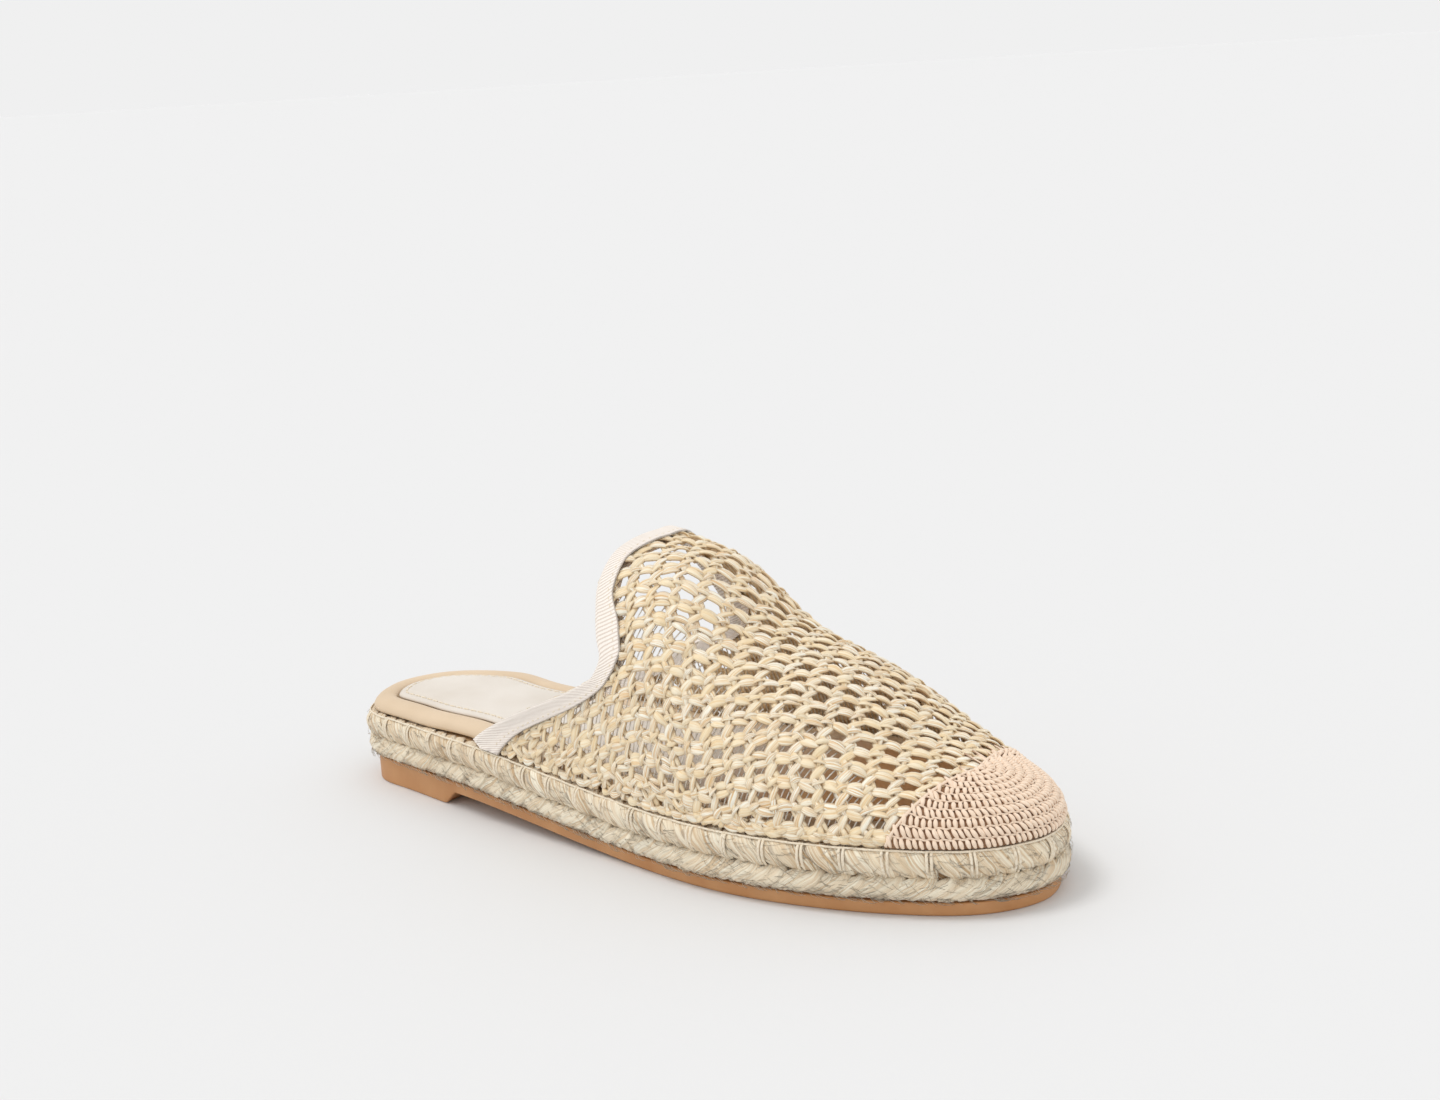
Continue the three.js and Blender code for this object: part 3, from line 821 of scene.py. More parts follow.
@dataclass(frozen=True)
class FibreFinish:
    """Straw, jute, cotton or thread: fibres run along each strand, and strands differ. Each strand
    is painted darker at its tips and underside, in its shadow colour, as painted shade.
    """

    name: str
    pale: Colour
    deep: Colour
    other: Colour
    # shadow is the painted shade colour; tip_shade, rim_light and rim_shade set where it is painted
    shadow: Colour
    streaks: float
    run: float
    depth: float
    tip_shade: float = 0.5
    roughness: float = 0.75
    sheen: float = 0.15
    specular: float = 0.3
    rim_light: float = 2.2
    rim_shade: float = 0.1
    contrast: float = 3.0
    balance: float = 0.62
    tip_slope: float = 7.0

    def make(self) -> bpy.types.Material:
        """Returns the material."""
        sheet = ShaderSheet(self.name)
        around, along = sheet.uv("Strand")
        strand = sheet.maths("FLOOR", around)
        local = around - strand
        fibre_place = sheet.vector(local * self.streaks, along * self.run, strand * 3.71)
        fibres = sheet.noise(fibre_place, 1.0, 3.0, 0.6)
        patch_place = sheet.vector(local * 1.5, along * 0.35, strand * 5.13)
        patches = sheet.noise(patch_place, 1.0, 1.0)
        settings = {"noise_dimensions": "1D"}
        chance = sheet.out(sheet.node("ShaderNodeTexWhiteNoise", settings, {"W": strand}))
        streaked = sheet.clamp((fibres - 0.5) * self.contrast + self.balance)
        base = sheet.blend(streaked, self.deep, self.pale)
        base = sheet.blend(sheet.clamp(chance * 0.75 + patches * 0.5 - 0.3), base, self.other)
        # Painted shade: each strand turns to its shadow colour at its tucked tips and on its
        # underside
        reach, height = sheet.uv("Reach")
        from_tip = sheet.maths("MINIMUM", reach, 1 - reach)
        painted_lit_share = sheet.clamp(from_tip * self.tip_slope + 1 - self.tip_shade * 1.6)
        painted_lit_share = painted_lit_share * sheet.clamp(height * self.rim_light - self.rim_shade)
        base = sheet.blend(painted_lit_share, self.shadow, base)
        normal = sheet.bump(fibres, self.depth, 1.0)
        constants = {
            "Sheen Weight": self.sheen,
            "Sheen Roughness": 0.4,
            "Specular IOR Level": self.specular,
        }
        return sheet.finish(base, self.roughness + fibres * 0.12, normal, constants)


@dataclass(frozen=True)
class MouldedRubber:
    """Caramel rubber with a faint mottle and paler rubbed places."""

    base: Colour = srgb(190, 134, 84)
    rubbed: Colour = srgb(206, 156, 108)
    mottle_scale: float = 90
    grain_scale: float = 1400
    grain_depth: float = 0.06 * MM
    gloss: float = 0.42

    def make(self) -> bpy.types.Material:
        """Returns the material."""
        sheet = ShaderSheet("rubber")
        place = sheet.place()
        mottle = sheet.noise(place, self.mottle_scale, 3)
        grain = sheet.noise(place, self.grain_scale, 2)
        base = sheet.blend(sheet.clamp(mottle * 1.8 - 0.55), self.base, self.rubbed)
        normal = sheet.bump(grain, self.grain_depth, 0.5)
        constants = {"Specular IOR Level": 0.45}
        return sheet.finish(base, self.gloss + mottle * 0.2, normal, constants)


@dataclass(frozen=True)
class Leather:
    """Smooth leather with fine pores and soft creases."""

    name: str
    base: Colour
    shade: Colour
    pores: float
    gloss: float
    toe: Colour | None = None
    toe_from: float = 15 * MM
    toe_to: float = 60 * MM
    patch_scale: float = 35
    crease_scale: float = 120
    crease_depth: float = 0.1 * MM

    def make(self) -> bpy.types.Material:
        """Returns the material."""
        sheet = ShaderSheet(self.name)
        place = sheet.place()
        soft = sheet.noise(place, self.patch_scale, 3)
        settings = {"feature": "DISTANCE_TO_EDGE"}
        pores = sheet.node("ShaderNodeTexVoronoi", settings, {"Vector": place, "Scale": self.pores})
        pore = sheet.clamp(sheet.out(pores, "Distance") * 6)
        base = sheet.blend(sheet.clamp(soft * 2 - 0.5), self.shade, self.base)
        base = sheet.blend(pore * 0.15 + 0.85, self.shade, base)
        if self.toe:
            # The colour turns to the toe colour towards the toe, from toe_from to toe_to along X
            x, _, _ = sheet.axes(place)
            toeward = sheet.clamp((x - self.toe_from) * (1 / (self.toe_to - self.toe_from)))
            base = sheet.blend(toeward, base, self.toe)
        creases = sheet.noise(place, self.crease_scale, 2)
        normal = sheet.bump(pore * 0.6 + creases, self.crease_depth, 0.35)
        return sheet.finish(base, self.gloss + soft * 0.15, normal, {"Specular IOR Level": 0.4})


@dataclass(frozen=True)
class RibbedRibbon:
    """Ribbon woven with fine slanting ribs."""

    base: Colour = srgb(255, 246, 236)
    groove_shade: Colour = srgb(212, 190, 172)
    rib: float = 1.2 * MM
    rib_depth: float = 0.12 * MM
    slant: float = 0.85

    def make(self) -> bpy.types.Material:
        """Returns the material."""
        sheet = ShaderSheet("ribbon")
        across, along = sheet.uv("Ribbon")
        wander = sheet.noise(sheet.vector(across * 300, along * 60, 0.0), 1, 2)
        phase = (along + across * self.slant) / self.rib + wander * 0.25
        ridge = sheet.clamp(sheet.maths("PINGPONG", phase, 0.5) * 2 * 1.7)
        # Painted shade: the grooves between the ribs are painted darker
        base = sheet.blend(ridge * 0.75 + 0.25, self.groove_shade, self.base)
        normal = sheet.bump(ridge, self.rib_depth, 0.9)
        constants = {"Sheen Weight": 0.4, "Specular IOR Level": 0.3}
        return sheet.finish(base, 0.62 + wander * 0.1, normal, constants)


@dataclass(frozen=True)
class PlainFloor:
    """Pale studio floor."""

    tone: float = 0.775

    def make(self) -> bpy.types.Material:
        """Returns the material."""
        sheet = ShaderSheet("studio_floor")
        faint = sheet.noise(sheet.place(), 2, 1)
        pale = (self.tone, self.tone, self.tone)
        base = sheet.blend(faint * 0.02, pale, (0.8, 0.8, 0.8))
        return sheet.finish(base, 0.9, None, {"Specular IOR Level": 0.1})


# Each fibre finish's fourth colour is its painted shadow colour, painted at strand tips and
# undersides
JUTE = FibreFinish(
    "jute", srgb(255, 246, 224), srgb(208, 174, 130), srgb(246, 226, 194), srgb(156, 118, 78),
    streaks=28, run=0.12, depth=0.9 * MM, tip_shade=0.3, roughness=0.8, sheen=0.3,
    rim_light=2.2, rim_shade=0.5, contrast=5.0,
)
# Painted light: a lighter copy of the jute with paler, weaker painted shade, for the lower row that
# faces down and gets less light; the loose fibres wear it too
JUTE_PAINTED_LIGHTER = replace(
    JUTE, name="jute_painted_lighter", deep=srgb(230, 203, 166), other=srgb(250, 234, 206),
    shadow=srgb(212, 182, 144), rim_shade=0.2,
)
TWINE = FibreFinish(
    "twine", srgb(250, 240, 221), srgb(220, 200, 168), srgb(242, 228, 204), srgb(178, 148, 112),
    streaks=6, run=0.6, depth=0.15 * MM, tip_shade=0.2, roughness=0.7,
)
RAFFIA = FibreFinish(
    "raffia", srgb(255, 251, 235), srgb(226, 186, 132), srgb(251, 227, 182), srgb(236, 207, 164),
    streaks=18, run=0.13, depth=0.35 * MM, tip_shade=0.5, roughness=0.45, specular=0.5,
    rim_light=2.6, rim_shade=0.95, contrast=4.6,
)
FILAMENT = FibreFinish(
    "filament", srgb(255, 252, 244), srgb(244, 236, 220), srgb(252, 246, 234), srgb(226, 210, 184),
    streaks=2, run=0.5, depth=0.02 * MM, tip_shade=0.0, roughness=0.35, specular=0.5,
)
COTTON = FibreFinish(
    "crochet_cotton", srgb(254, 234, 212), srgb(236, 206, 178), srgb(250, 226, 202),
    srgb(172, 130, 96),
    streaks=9, run=0.4, depth=0.2 * MM, tip_shade=0.5, roughness=0.8, sheen=0.25,
    rim_light=2.4, rim_shade=0.6, contrast=3.0,
)
RIM_LEATHER = Leather("insole_leather", srgb(231, 208, 179), srgb(214, 189, 157), 1500, 0.42)
SOCK_LEATHER = Leather(
    "sock", srgb(235, 228, 219), srgb(219, 209, 196), 1900, 0.5, toe=srgb(224, 178, 128)
)
JUTE_CORE = Leather("jute_core", srgb(205, 174, 134), JUTE.shadow, 300, 0.8)
# Painted shade: the crochet ground is brown, darker than the cotton, to darken the gaps between the
# stitches
CROCHET_GROUND_SHADE = Leather("crochet_ground", srgb(190, 150, 118), srgb(160, 120, 88), 900, 0.8)


def dress(
    obj: bpy.types.Object, material: bpy.types.Material, replaces: str | None = None
) -> None:
    """Gives a piece its material, sets it on the frame and reports it.

    Args:
        obj: the piece.
        material: its finish.
        replaces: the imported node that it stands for, if any.
    """
    obj.data.materials.append(material)
    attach(obj, "root")
    if replaces:
        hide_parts(replaces)
    LOG.info("%s: %d faces", obj.name, len(obj.data.polygons))


@dataclass
class RubberOutsole:
    """Moulded rubber outsole with a low heel and rounded edges."""

    last: Last
    inset: float = 2.7 * MM
    rounding: float = 0.7 * MM
    rounding_steps: int = 4
    stations: int = 360
    strip: float = 6 * MM

    def ring(self, inset: float, height: Callable[[Array], Array]) -> Array:
        """Returns one ring of points at an inset and at a height over X."""
        share = np.arange(self.stations) / self.stations
        edge = self.last.edge(share, self.inset + inset)
        return np.column_stack([edge, height(edge[:, 0])])

    def build(self) -> None:
        """Builds the outsole."""
        under, top, r = self.last.outsole_underside, self.last.outsole_top, self.rounding
        turns = np.linspace(0, RIDGE, self.rounding_steps)
        rings = [self.ring(2 * r, under)]
        rings += [
            self.ring(r * (1 - math.sin(t)), lambda x, t=t: under(x) + r * (1 - math.cos(t)))
            for t in turns
        ]
        rings += [self.ring(0, lambda x: mix(under(x) + r, top(x) - r / 2, 0.5))]
        rings += [
            self.ring(r / 2 * (1 - math.cos(t)), lambda x, t=t: top(x) - r / 2 * (1 - math.sin(t)))
            for t in turns
        ]
        rings += [self.ring(2 * r, top)]
        breast = self.last.place_x(0) + self.last.heel_length
        cuts = [*self.last.strips(self.strip), breast, breast + self.last.breast_slope]
        obj = as_object("rubber_outsole", loft(rings, cuts))
        dress(obj, MouldedRubber().make(), "outsole")


@dataclass(frozen=True)
class PlaitRow:
    """One plaited row: what its strands look like, how they run and how much they differ."""

    name: str
    finish: FibreFinish
    seed: int
    pitch: float
    lean: float
    half_width: float
    up: Curve
    inset_mm: Curve
    half_thick: float = 1.6 * MM
    plies: int = 6
    ply_depth: float = 0.17
    blunt: float = 0.05
    fullness: float = 0.22
    overreach: float = 0.05
    spacing_stray: Pair = (-0.12, 0.12)
    lean_shares: Pair = (0.9, 1.1)
    inset_mm_stray: Pair = (-0.25, 0.2)
    up_stray: Pair = (-0.012, 0.012)
    width_shares: Pair = (0.92, 1.12)
    thickness_shares: Pair = (0.9, 1.08)
    rolls: Pair = (-0.12, 0.12)
    twists: Pair = (0.2, 0.5)


UPPER_ROW = PlaitRow(
    "upper_plait", JUTE, seed=3, pitch=5.6 * MM, lean=6.6 * MM, half_width=3.5 * MM,
    up=Curve(STRAND_MARKS, (0.88, 0.91, 0.89, 0.76, 0.62, 0.52, 0.46)),
    inset_mm=Curve(STRAND_MARKS, (6.6, 4.4, 2.4, 1.5, 1.65, 2.4, 3.8)),
)
LOWER_ROW = PlaitRow(
    "lower_plait", JUTE_PAINTED_LIGHTER, seed=4, pitch=4.7 * MM, lean=8.2 * MM, half_width=2.7 * MM,
    up=Curve(STRAND_MARKS, (0.1, 0.1, 0.16, 0.26, 0.36, 0.44, 0.5)),
    inset_mm=Curve(STRAND_MARKS, (4.4, 3.0, 2.0, 1.5, 1.65, 2.4, 3.8)),
)


@dataclass
class JuteBraid:
    """Two plaited jute rows with stitches of pale twine, on a closed core."""

    last: Last
    rows: tuple[PlaitRow, ...] = (UPPER_ROW, LOWER_ROW)
    core_levels: tuple[Pair, ...] = (
        (0.02, 4.4), (0.03, 2.6), (0.5, 2.7), (0.86, 1.6), (0.955, 2.0), (0.965, 4.4),
    )
    core_stations: int = 240
    core_strip: float = 10 * MM
    twine_seed: int = 11
    twine_half: float = 0.5 * MM
    twine_flatness: float = 0.8
    stitch_pitch: float = 12 * MM
    stitch_gap: float = 1.15 * MM
    stitch_stray: Pair = (-0.2 * MM, 0.2 * MM)
    stitch_slants: Pair = (0.0, 0.9 * MM)
    stitch_up: Curve = Curve((0, 0.25, 0.6, 1), (0.99, 0.93, 0.72, 0.44))
    stitch_inset_mm: Curve = Curve((0, 0.2, 0.5, 0.8, 1), (2.3, 0.75, -0.25, 0.5, 2.6))
    line_up: float = 0.985
    line_inset: float = 1.35 * MM
    line_wave: float = 0.12 * MM
    line_half: Pair = (0.38 * MM, 0.34 * MM)
    line_overlap: float = 1.06
    line_parts: int = 3
    hair_seed: int = 5
    hairs: int = 2200
    low_hairs: float = 0.4
    low_hair_up: Pair = (0.05, 0.16)
    high_hair_up: Pair = (0.12, 0.95)
    low_hair_inset: float = 0.9
    high_hair_inset: float = 0.1
    hair_depth: float = 0.42
    hair_runs: Pair = (1.5, 5.5)
    hair_rises: Pair = (-0.22, 0.12)
    hair_curl: float = 0.05
    hair_swings: Pair = (0.1, 0.9)
    hair_bow: float = 2.4
    lowest_up: float = 0.01
    hair_half: Pair = (0.05, 0.09)
    hair_thick: float = 0.06 * MM

    def place(self, share: Array, inset: Array, up: Array) -> tuple[Array, Array]:
        """Finds points beside the braid.

        Args:
            share: shares of the way round.
            inset: distances inside the sole's outline, in metres.
            up: shares of the braid's height.

        Returns:
            The points and the outward directions.
        """
        edge = self.last.edge(share, inset)
        outer = self.last.edge(share, inset - MM)
        z = self.last.braid_bottom(edge[:, 0]) + up * self.last.braid_height
        out = np.column_stack([unit(outer - edge), np.zeros(len(z))])
        return np.column_stack([edge, z]), out

    def plait(self, row: PlaitRow) -> None:
        """Lays one row of strands, each turned so that its face looks out of the braid.

        Args:
            row: the row.
        """
        rng = np.random.default_rng(row.seed)
        press = StrandPress(sides=16, rings=14)
        t = press.share
        body = taper(t, row.blunt, row.fullness)
        count = round(self.last.girth / row.pitch)
        for i in range(count):
            start = (i + rng.uniform(*row.spacing_stray)) / count
            swing = row.lean * rng.uniform(*row.lean_shares) / self.last.girth
            share = start + swing * smooth(mix(-row.overreach, 1 + row.overreach, t))
            depth = row.inset_mm(t) + rng.uniform(*row.inset_mm_stray)
            height = row.up(t) + rng.uniform(*row.up_stray)
            points, out = self.place(share, depth * MM, height)
            facing = math.copysign(1, height[-1] - height[0])
            rise = np.gradient(height * self.last.braid_height)
            out = facing * rise[:, None] * out
            out[:, 2] = facing * np.gradient(depth * MM)
            wide = row.half_width * rng.uniform(*row.width_shares) * body
            thick = row.half_thick * rng.uniform(*row.thickness_shares) * body
            press.lay(
                points, out, wide, thick, roll=rng.uniform(*row.rolls),
                plies=row.plies, ply_depth=row.ply_depth, twist=rng.uniform(*row.twists),
            )
        dress(press.piece(row.name), row.finish.make(), "braided_midsole")

    def core(self) -> None:
        """Builds the core that closes the plait behind the strands."""
        count = self.core_stations
        share = np.arange(count) / count
        rings = [
            self.place(share, np.full(count, inset * MM), np.full(count, up))[0]
            for up, inset in self.core_levels
        ]
        obj = as_object("jute_core", loft(rings, self.last.strips(self.core_strip)))
        dress(obj, JUTE_CORE.make())

    def stitches(self) -> None:
        """Sews the pairs of twine over the upper row and the line along its top edge."""
        rng = np.random.default_rng(self.twine_seed)
        press = StrandPress(sides=7, rings=10)
        t = press.share
        girth = self.last.girth
        count = round(girth / self.stitch_pitch)
        up, inset = self.stitch_up(t), self.stitch_inset_mm(t) * MM
        for i in range(count):
            for side in (-0.5, 0.5):
                drift = rng.uniform(*self.stitch_stray)
                drift = drift + (t - 0.5) * rng.uniform(*self.stitch_slants)
                share = i / count + (side * self.stitch_gap + drift) / girth
                points, out = self.place(share, inset, up)
                thick = self.twine_half * self.twine_flatness
                press.lay(points, out, self.twine_half, thick, **TWISTED_TWINE)
        steps = count * self.line_parts
        for i in range(steps):
            share = (i + t * self.line_overlap) / steps
            wave = self.line_wave * np.sin(TURN * share * count)
            points, out = self.place(share, self.line_inset + wave, np.full(len(t), self.line_up))
            press.lay(points, out, *self.line_half, **TWISTED_TWINE)
        dress(press.piece("twine_stitches"), TWINE.make())

    def loose_hairs(self) -> None:
        """Scatters short loose fibres over both rows, many of them along the lower edge."""
        rng = np.random.default_rng(self.hair_seed)
        press = StrandPress(sides=3, rings=5)
        t = press.share
        for _ in range(self.hairs):
            low = rng.random() < self.low_hairs
            up = rng.uniform(*(self.low_hair_up if low else self.high_hair_up))
            inset = self.low_hair_inset
            if not low:
                inset = self.high_hair_inset + abs(rng.normal(0, self.hair_depth))
            share = rng.random() + t * rng.uniform(*self.hair_runs) * MM / self.last.girth
            curl = self.hair_curl * rng.uniform(-1, 1) * t * t
            rise = up + rng.uniform(*self.hair_rises) * t + curl
            depth = inset - rng.uniform(*self.hair_swings) * np.sin(t * self.hair_bow)
            points, out = self.place(share, depth * MM, np.maximum(rise, self.lowest_up))
            press.lay(points, out, rng.uniform(*self.hair_half) * MM, self.hair_thick)
        dress(press.piece("loose_fibres"), JUTE_PAINTED_LIGHTER.make())

    def build(self) -> None:
        """Builds the plait with its core, stitches and loose fibres."""
        for row in self.rows:
            self.plait(row)
        self.core()
        self.stitches()
        self.loose_hairs()


@dataclass
class Insole:
    """Leather-covered board with a rolled rim, and the padded sock inside it."""

    last: Last
    heel_inset: float = 2.6 * MM
    waist_inset: float = 5.0 * MM
    rim_height: float = 4.1 * MM
    rim_width: float = 7.8 * MM
    sock_thickness: float = 2.2 * MM
    sock_floor: float = 0.6
    widen: Pair = (0.139, 0.239)
    stations: int = 360
    strip: float = 5 * MM
    rim: tuple[Pair, ...] = (
        (0.5, 0.0), (0.1, 0.0), (0.0, 0.1), (0.0, 0.3), (0.05, 0.52), (0.15, 0.72), (0.3, 0.88),
        (0.48, 0.97), (0.66, 1.0), (0.8, 0.96), (0.92, 0.86), (1.0, 0.68), (1.02, 0.5),
        (1.5, 0.5),
    )
    sock: tuple[Pair, ...] = (
        (0.4, 0.0), (0.14, 0.02), (0.09, 0.12), (0.08, 0.3), (0.12, 0.5), (0.24, 0.66),
        (0.34, 0.7), (0.4, 0.64), (0.45, 0.72), (0.5, 0.8), (0.55, 0.86), (0.6, 0.89),
    )
    seam_reach: float = 1.4
    seam_rise: float = 0.7
    seam_pitch: float = 3.2 * MM
    seam_cover: float = 0.76
    seam_sink: float = 0.15 * MM
    seam_arch: float = 0.25 * MM
    seam_half: Pair = (0.3 * MM, 0.26 * MM)

    def ring(self, inward: float, rise: float) -> Array:
        """Returns one ring round the board, at a distance inside its edge and a height."""
        share = np.arange(self.stations) / self.stations
        edge = self.last.edge(share, 0.0)
        start, end = self.widen
        widening = smooth((self.last.along(edge[:, 0]) - start) / (end - start))
        inset = mix(self.heel_inset, self.waist_inset, widening) + inward
        ring = self.last.edge(share, inset)
        z = self.last.braid_top(ring[:, 0]) + self.last.clearance + rise
        return np.column_stack([ring, z])

    def build(self) -> None:
        """Builds the board, the sock and the seam between them."""
        cuts = self.last.strips(self.strip)
        rings = [self.ring(a * self.rim_width, b * self.rim_height) for a, b in self.rim]
        board = as_object("insole_rim", loft(rings, cuts))
        dress(board, RIM_LEATHER.make(), "insole_board")
        floor = self.sock_floor * self.rim_height + self.last.clearance
        rings = [
            self.ring((1 + a) * self.rim_width, floor + b * self.sock_thickness)
            for a, b in self.sock
        ]
        sock = as_object("padded_sock", loft(rings, cuts))
        dress(sock, SOCK_LEATHER.make(), "sock_pad")
        self.seam(floor)

    def seam(self, floor: float) -> None:
        """Sews the sock down: a sunk line of stitches round it.

        Args:
            floor: height of the sock's underside over the braid.
        """
        press = StrandPress(sides=6, rings=5)
        line = self.ring(
            self.seam_reach * self.rim_width, floor + self.seam_rise * self.sock_thickness
        )
        closed = np.vstack([line, line[:1]])
        walked = reached(closed)
        count = round(walked[-1] / self.seam_pitch)
        arch = self.seam_arch * np.cos((press.share - 0.5) * math.pi)
        out = np.tile([0.0, 0.0, 1.0], (len(arch), 1))
        for i in range(count):
            at = stitch_rings(press.share, i, self.seam_cover) * walked[-1] / count
            points = np.column_stack([np.interp(at, walked, closed[:, k]) for k in range(3)])
            points[:, 2] += arch - self.seam_sink
            press.lay(points, out, *self.seam_half, **SOCK_THREAD)
        dress(press.piece("sock_stitches"), TWINE.make())


@dataclass(frozen=True)
class RaffiaStrand:
    """One kind of strand in the net: its section, its taper and how much it differs."""

    seed: int
    sides: int
    rings: int
    blunt: float
    fullness: float
    half_width: Pair
    half_thick: float
    roll: float
    twist: float
    edge_fullness: float = 1.0
    plies: int = 4
    ply_depth: float = 0.14

    def start(self) -> tuple[np.random.Generator, StrandPress, Array]:
        """Returns the random draws, the press and the taper of these strands."""
        press = StrandPress(self.sides, self.rings)
        body = taper(press.share, self.blunt, self.fullness)
        return np.random.default_rng(self.seed), press, body

    def draw(self, rng: np.random.Generator, body: Array, way: int = 1) -> dict[str, object]:
        """Draws the width and the roll of one strand.

        Args:
            rng: the random draws.
            body: the strand's taper.
            way: 1 or -1, the way its plies turn.

        Returns:
            What the press is given beside the strand's course.
        """
        return {
            "half_width": rng.uniform(*self.half_width) * body,
            "half_thick": self.half_thick * body**self.edge_fullness,
            "roll": rng.normal(0, self.roll),
            "plies": self.plies,
            "ply_depth": self.ply_depth,
            "twist": self.twist * way,
        }


BEAD = RaffiaStrand(
    seed=21, sides=9, rings=9, blunt=0.03, fullness=0.7, half_width=(1.152 * MM, 1.728 * MM),
    half_thick=0.5 * MM, roll=0.22, twist=0.0, edge_fullness=0.5, plies=5,
)
CROSSING = RaffiaStrand(
    seed=22, sides=8, rings=10, blunt=0.05, fullness=0.3, half_width=(0.96 * MM, 1.44 * MM),
    half_thick=0.48 * MM, roll=0.2, twist=0.3,
)
KNOT = RaffiaStrand(
    seed=23, sides=8, rings=8, blunt=0.04, fullness=0.6, half_width=(0.8 * MM, 1.35 * MM),
    half_thick=0.5 * MM, roll=0.3, twist=0.3,
)
WRAP = RaffiaStrand(
    seed=24, sides=8, rings=8, blunt=0.05, fullness=0.5, half_width=(0.75 * MM, 1.1 * MM),
    half_thick=0.42 * MM, roll=0.3, twist=0.2, ply_depth=0.16,
)


@dataclass
class RaffiaNet:
    """Knotted raffia net: long beads along the rows, crossed strands between its holes."""

    form: UpperForm
    cell_length: float = 7.4 * MM
    cell_height: float = 5.9 * MM
    row_angle: float = math.radians(35)
    column_angle: float = math.radians(18)
    start_x: float = 20 * MM
    foot_margin: float = 1.2 * MM
    collar_margin: float = 1.5 * MM
    cap_margin: float = 0.2 * MM
    reach_cells: int = 26
    overhang: float = 1.5 * MM
    bead_shares: Pair = (0.4, 0.58)
    bead_leaves: tuple[tuple[float, float, float], ...] = (
        (-0.08, -0.75, 0.75), (0.1, 0.85, 1.25),
    )
    bead_sink: float = -1.35
    bead_slope: float = 0.16
    bead_strays: Pair = (-0.3, 0.3)
    bead_bends: Pair = (-0.5, 0.5)
    bead_turn: float = 0.5
    bead_twists: Pair = (-0.3, 0.3)
    crossing_overhang: float = 2.5 * MM
    crossing_run: Pair = (-0.15, 1.15)
    crossing_swings: Pair = (1.25, 1.95)
    crossing_strays: Pair = (-0.25, 0.25)
    crossing_sides: tuple[Pair, ...] = ((-1, -0.25), (1, 0.45))
    crossing_sink: float = -0.95
    crossing_dip: float = 0.5 * MM
    wrap_half: Pair = (2.1, 2.9)
    wrap_lean: Pair = (0.15, 0.3)
    wrap_leaves: tuple[Pair, ...] = ((-0.75, 1.0), (1.0, 1.35))
    wrap_strays_along: Pair = (-0.4, 0.4)
    wrap_strays_across: Pair = (-0.3, 0.3)
    wrap_sink: float = -1.2
    knots_from: float = -62 * MM
    knots_to: float = 96 * MM
    knot_pitch: float = 3.4 * MM
    knot_strays: Pair = (-0.2, 0.2)
    knot_run: Pair = (4.5, 7)
    knot_turn: Pair = (0.03, 0.075)
    knot_climb: Pair = (-0.07, 0.07)
    knot_bows: Pair = (0.7, 1.2)
    knot_sink: float = -1.3
    filament_pitch: float = 1.7 * MM
    filament_step: float = 6 * MM
    filament_overlap: float = 1.02
    filament_lean: float = math.radians(52)
    filament_lift: float = -1.75 * MM
    filament_half: Pair = (0.22 * MM, 0.14 * MM)
    bare_ridge: float = 27 * MM
    raffia: bpy.types.Material = field(init=False)

    def spread(self, a: Array, b: Array) -> tuple[Array, Array]:
        """Turns places along and across the net's grain into places on the cloth."""
        x = self.start_x + a * math.cos(self.row_angle) + b * math.sin(self.column_angle)
        return x, -a * math.sin(self.row_angle) + b * math.cos(self.column_angle)

    def outside(self, a: Array, b: Array) -> Array:
        """Returns how far places are outside the net's edges, negative inside."""
        x, drop = self.spread(a, b)
        _, turn, left = self.form.cloth(x, drop)
        behind = self.form.collar_x(turn, self.collar_margin) - x
        before = x - self.form.cap_x(turn) - self.cap_margin
        return np.maximum(np.maximum(behind, before), -left)

    def within(self, x: Array, turn: Array) -> Array:
        """Returns X, kept between the collar and the toe cap."""
        x = np.maximum(x, self.form.collar_x(turn, self.collar_margin))
        return np.minimum(x, self.form.cap_x(turn) + self.cap_margin)

    def lay(self, press: StrandPress, a: Array, b: Array, lift: Array, **shape: object) -> None:
        """Lays one strand of the net, kept within the net's edges.

        Args:
            press: the press that bends it.
            a: places along the grain, one for each ring.
            b: places across the grain.
            lift: how far each ring lies outside the upper's surface.
            shape: the strand's widths and roll.
        """
        x, drop = self.spread(a, b)
        x, _, left = self.form.cloth(x, drop)
        tuck = np.maximum(0, self.foot_margin - left)
        x, turn, _ = self.form.cloth(x, drop - np.sign(drop) * tuck)
        points, out = self.form.at(self.within(x, turn), turn, lift)
        if reached(points)[-1] > MM:
            press.lay(points, out, **shape)

    def cells(self, along: float, up: float, margin: float) -> list[tuple[float, float]]:
        """Lists the net's cells.

        Args:
            along: where in a cell the wanted place is, as a share of its length.
            up: the same across the grain.
            margin: how far outside the edges a place may be.

        Returns:
            The places, along and across the grain.
        """
        span = np.arange(-self.reach_cells, self.reach_cells + 1)
        i, j = np.meshgrid(span, span)
        a = (i.ravel() + along) * self.cell_length
        b = (j.ravel() + up) * self.cell_height
        kept = self.outside(a, b) < margin
        return list(zip(a[kept], b[kept]))

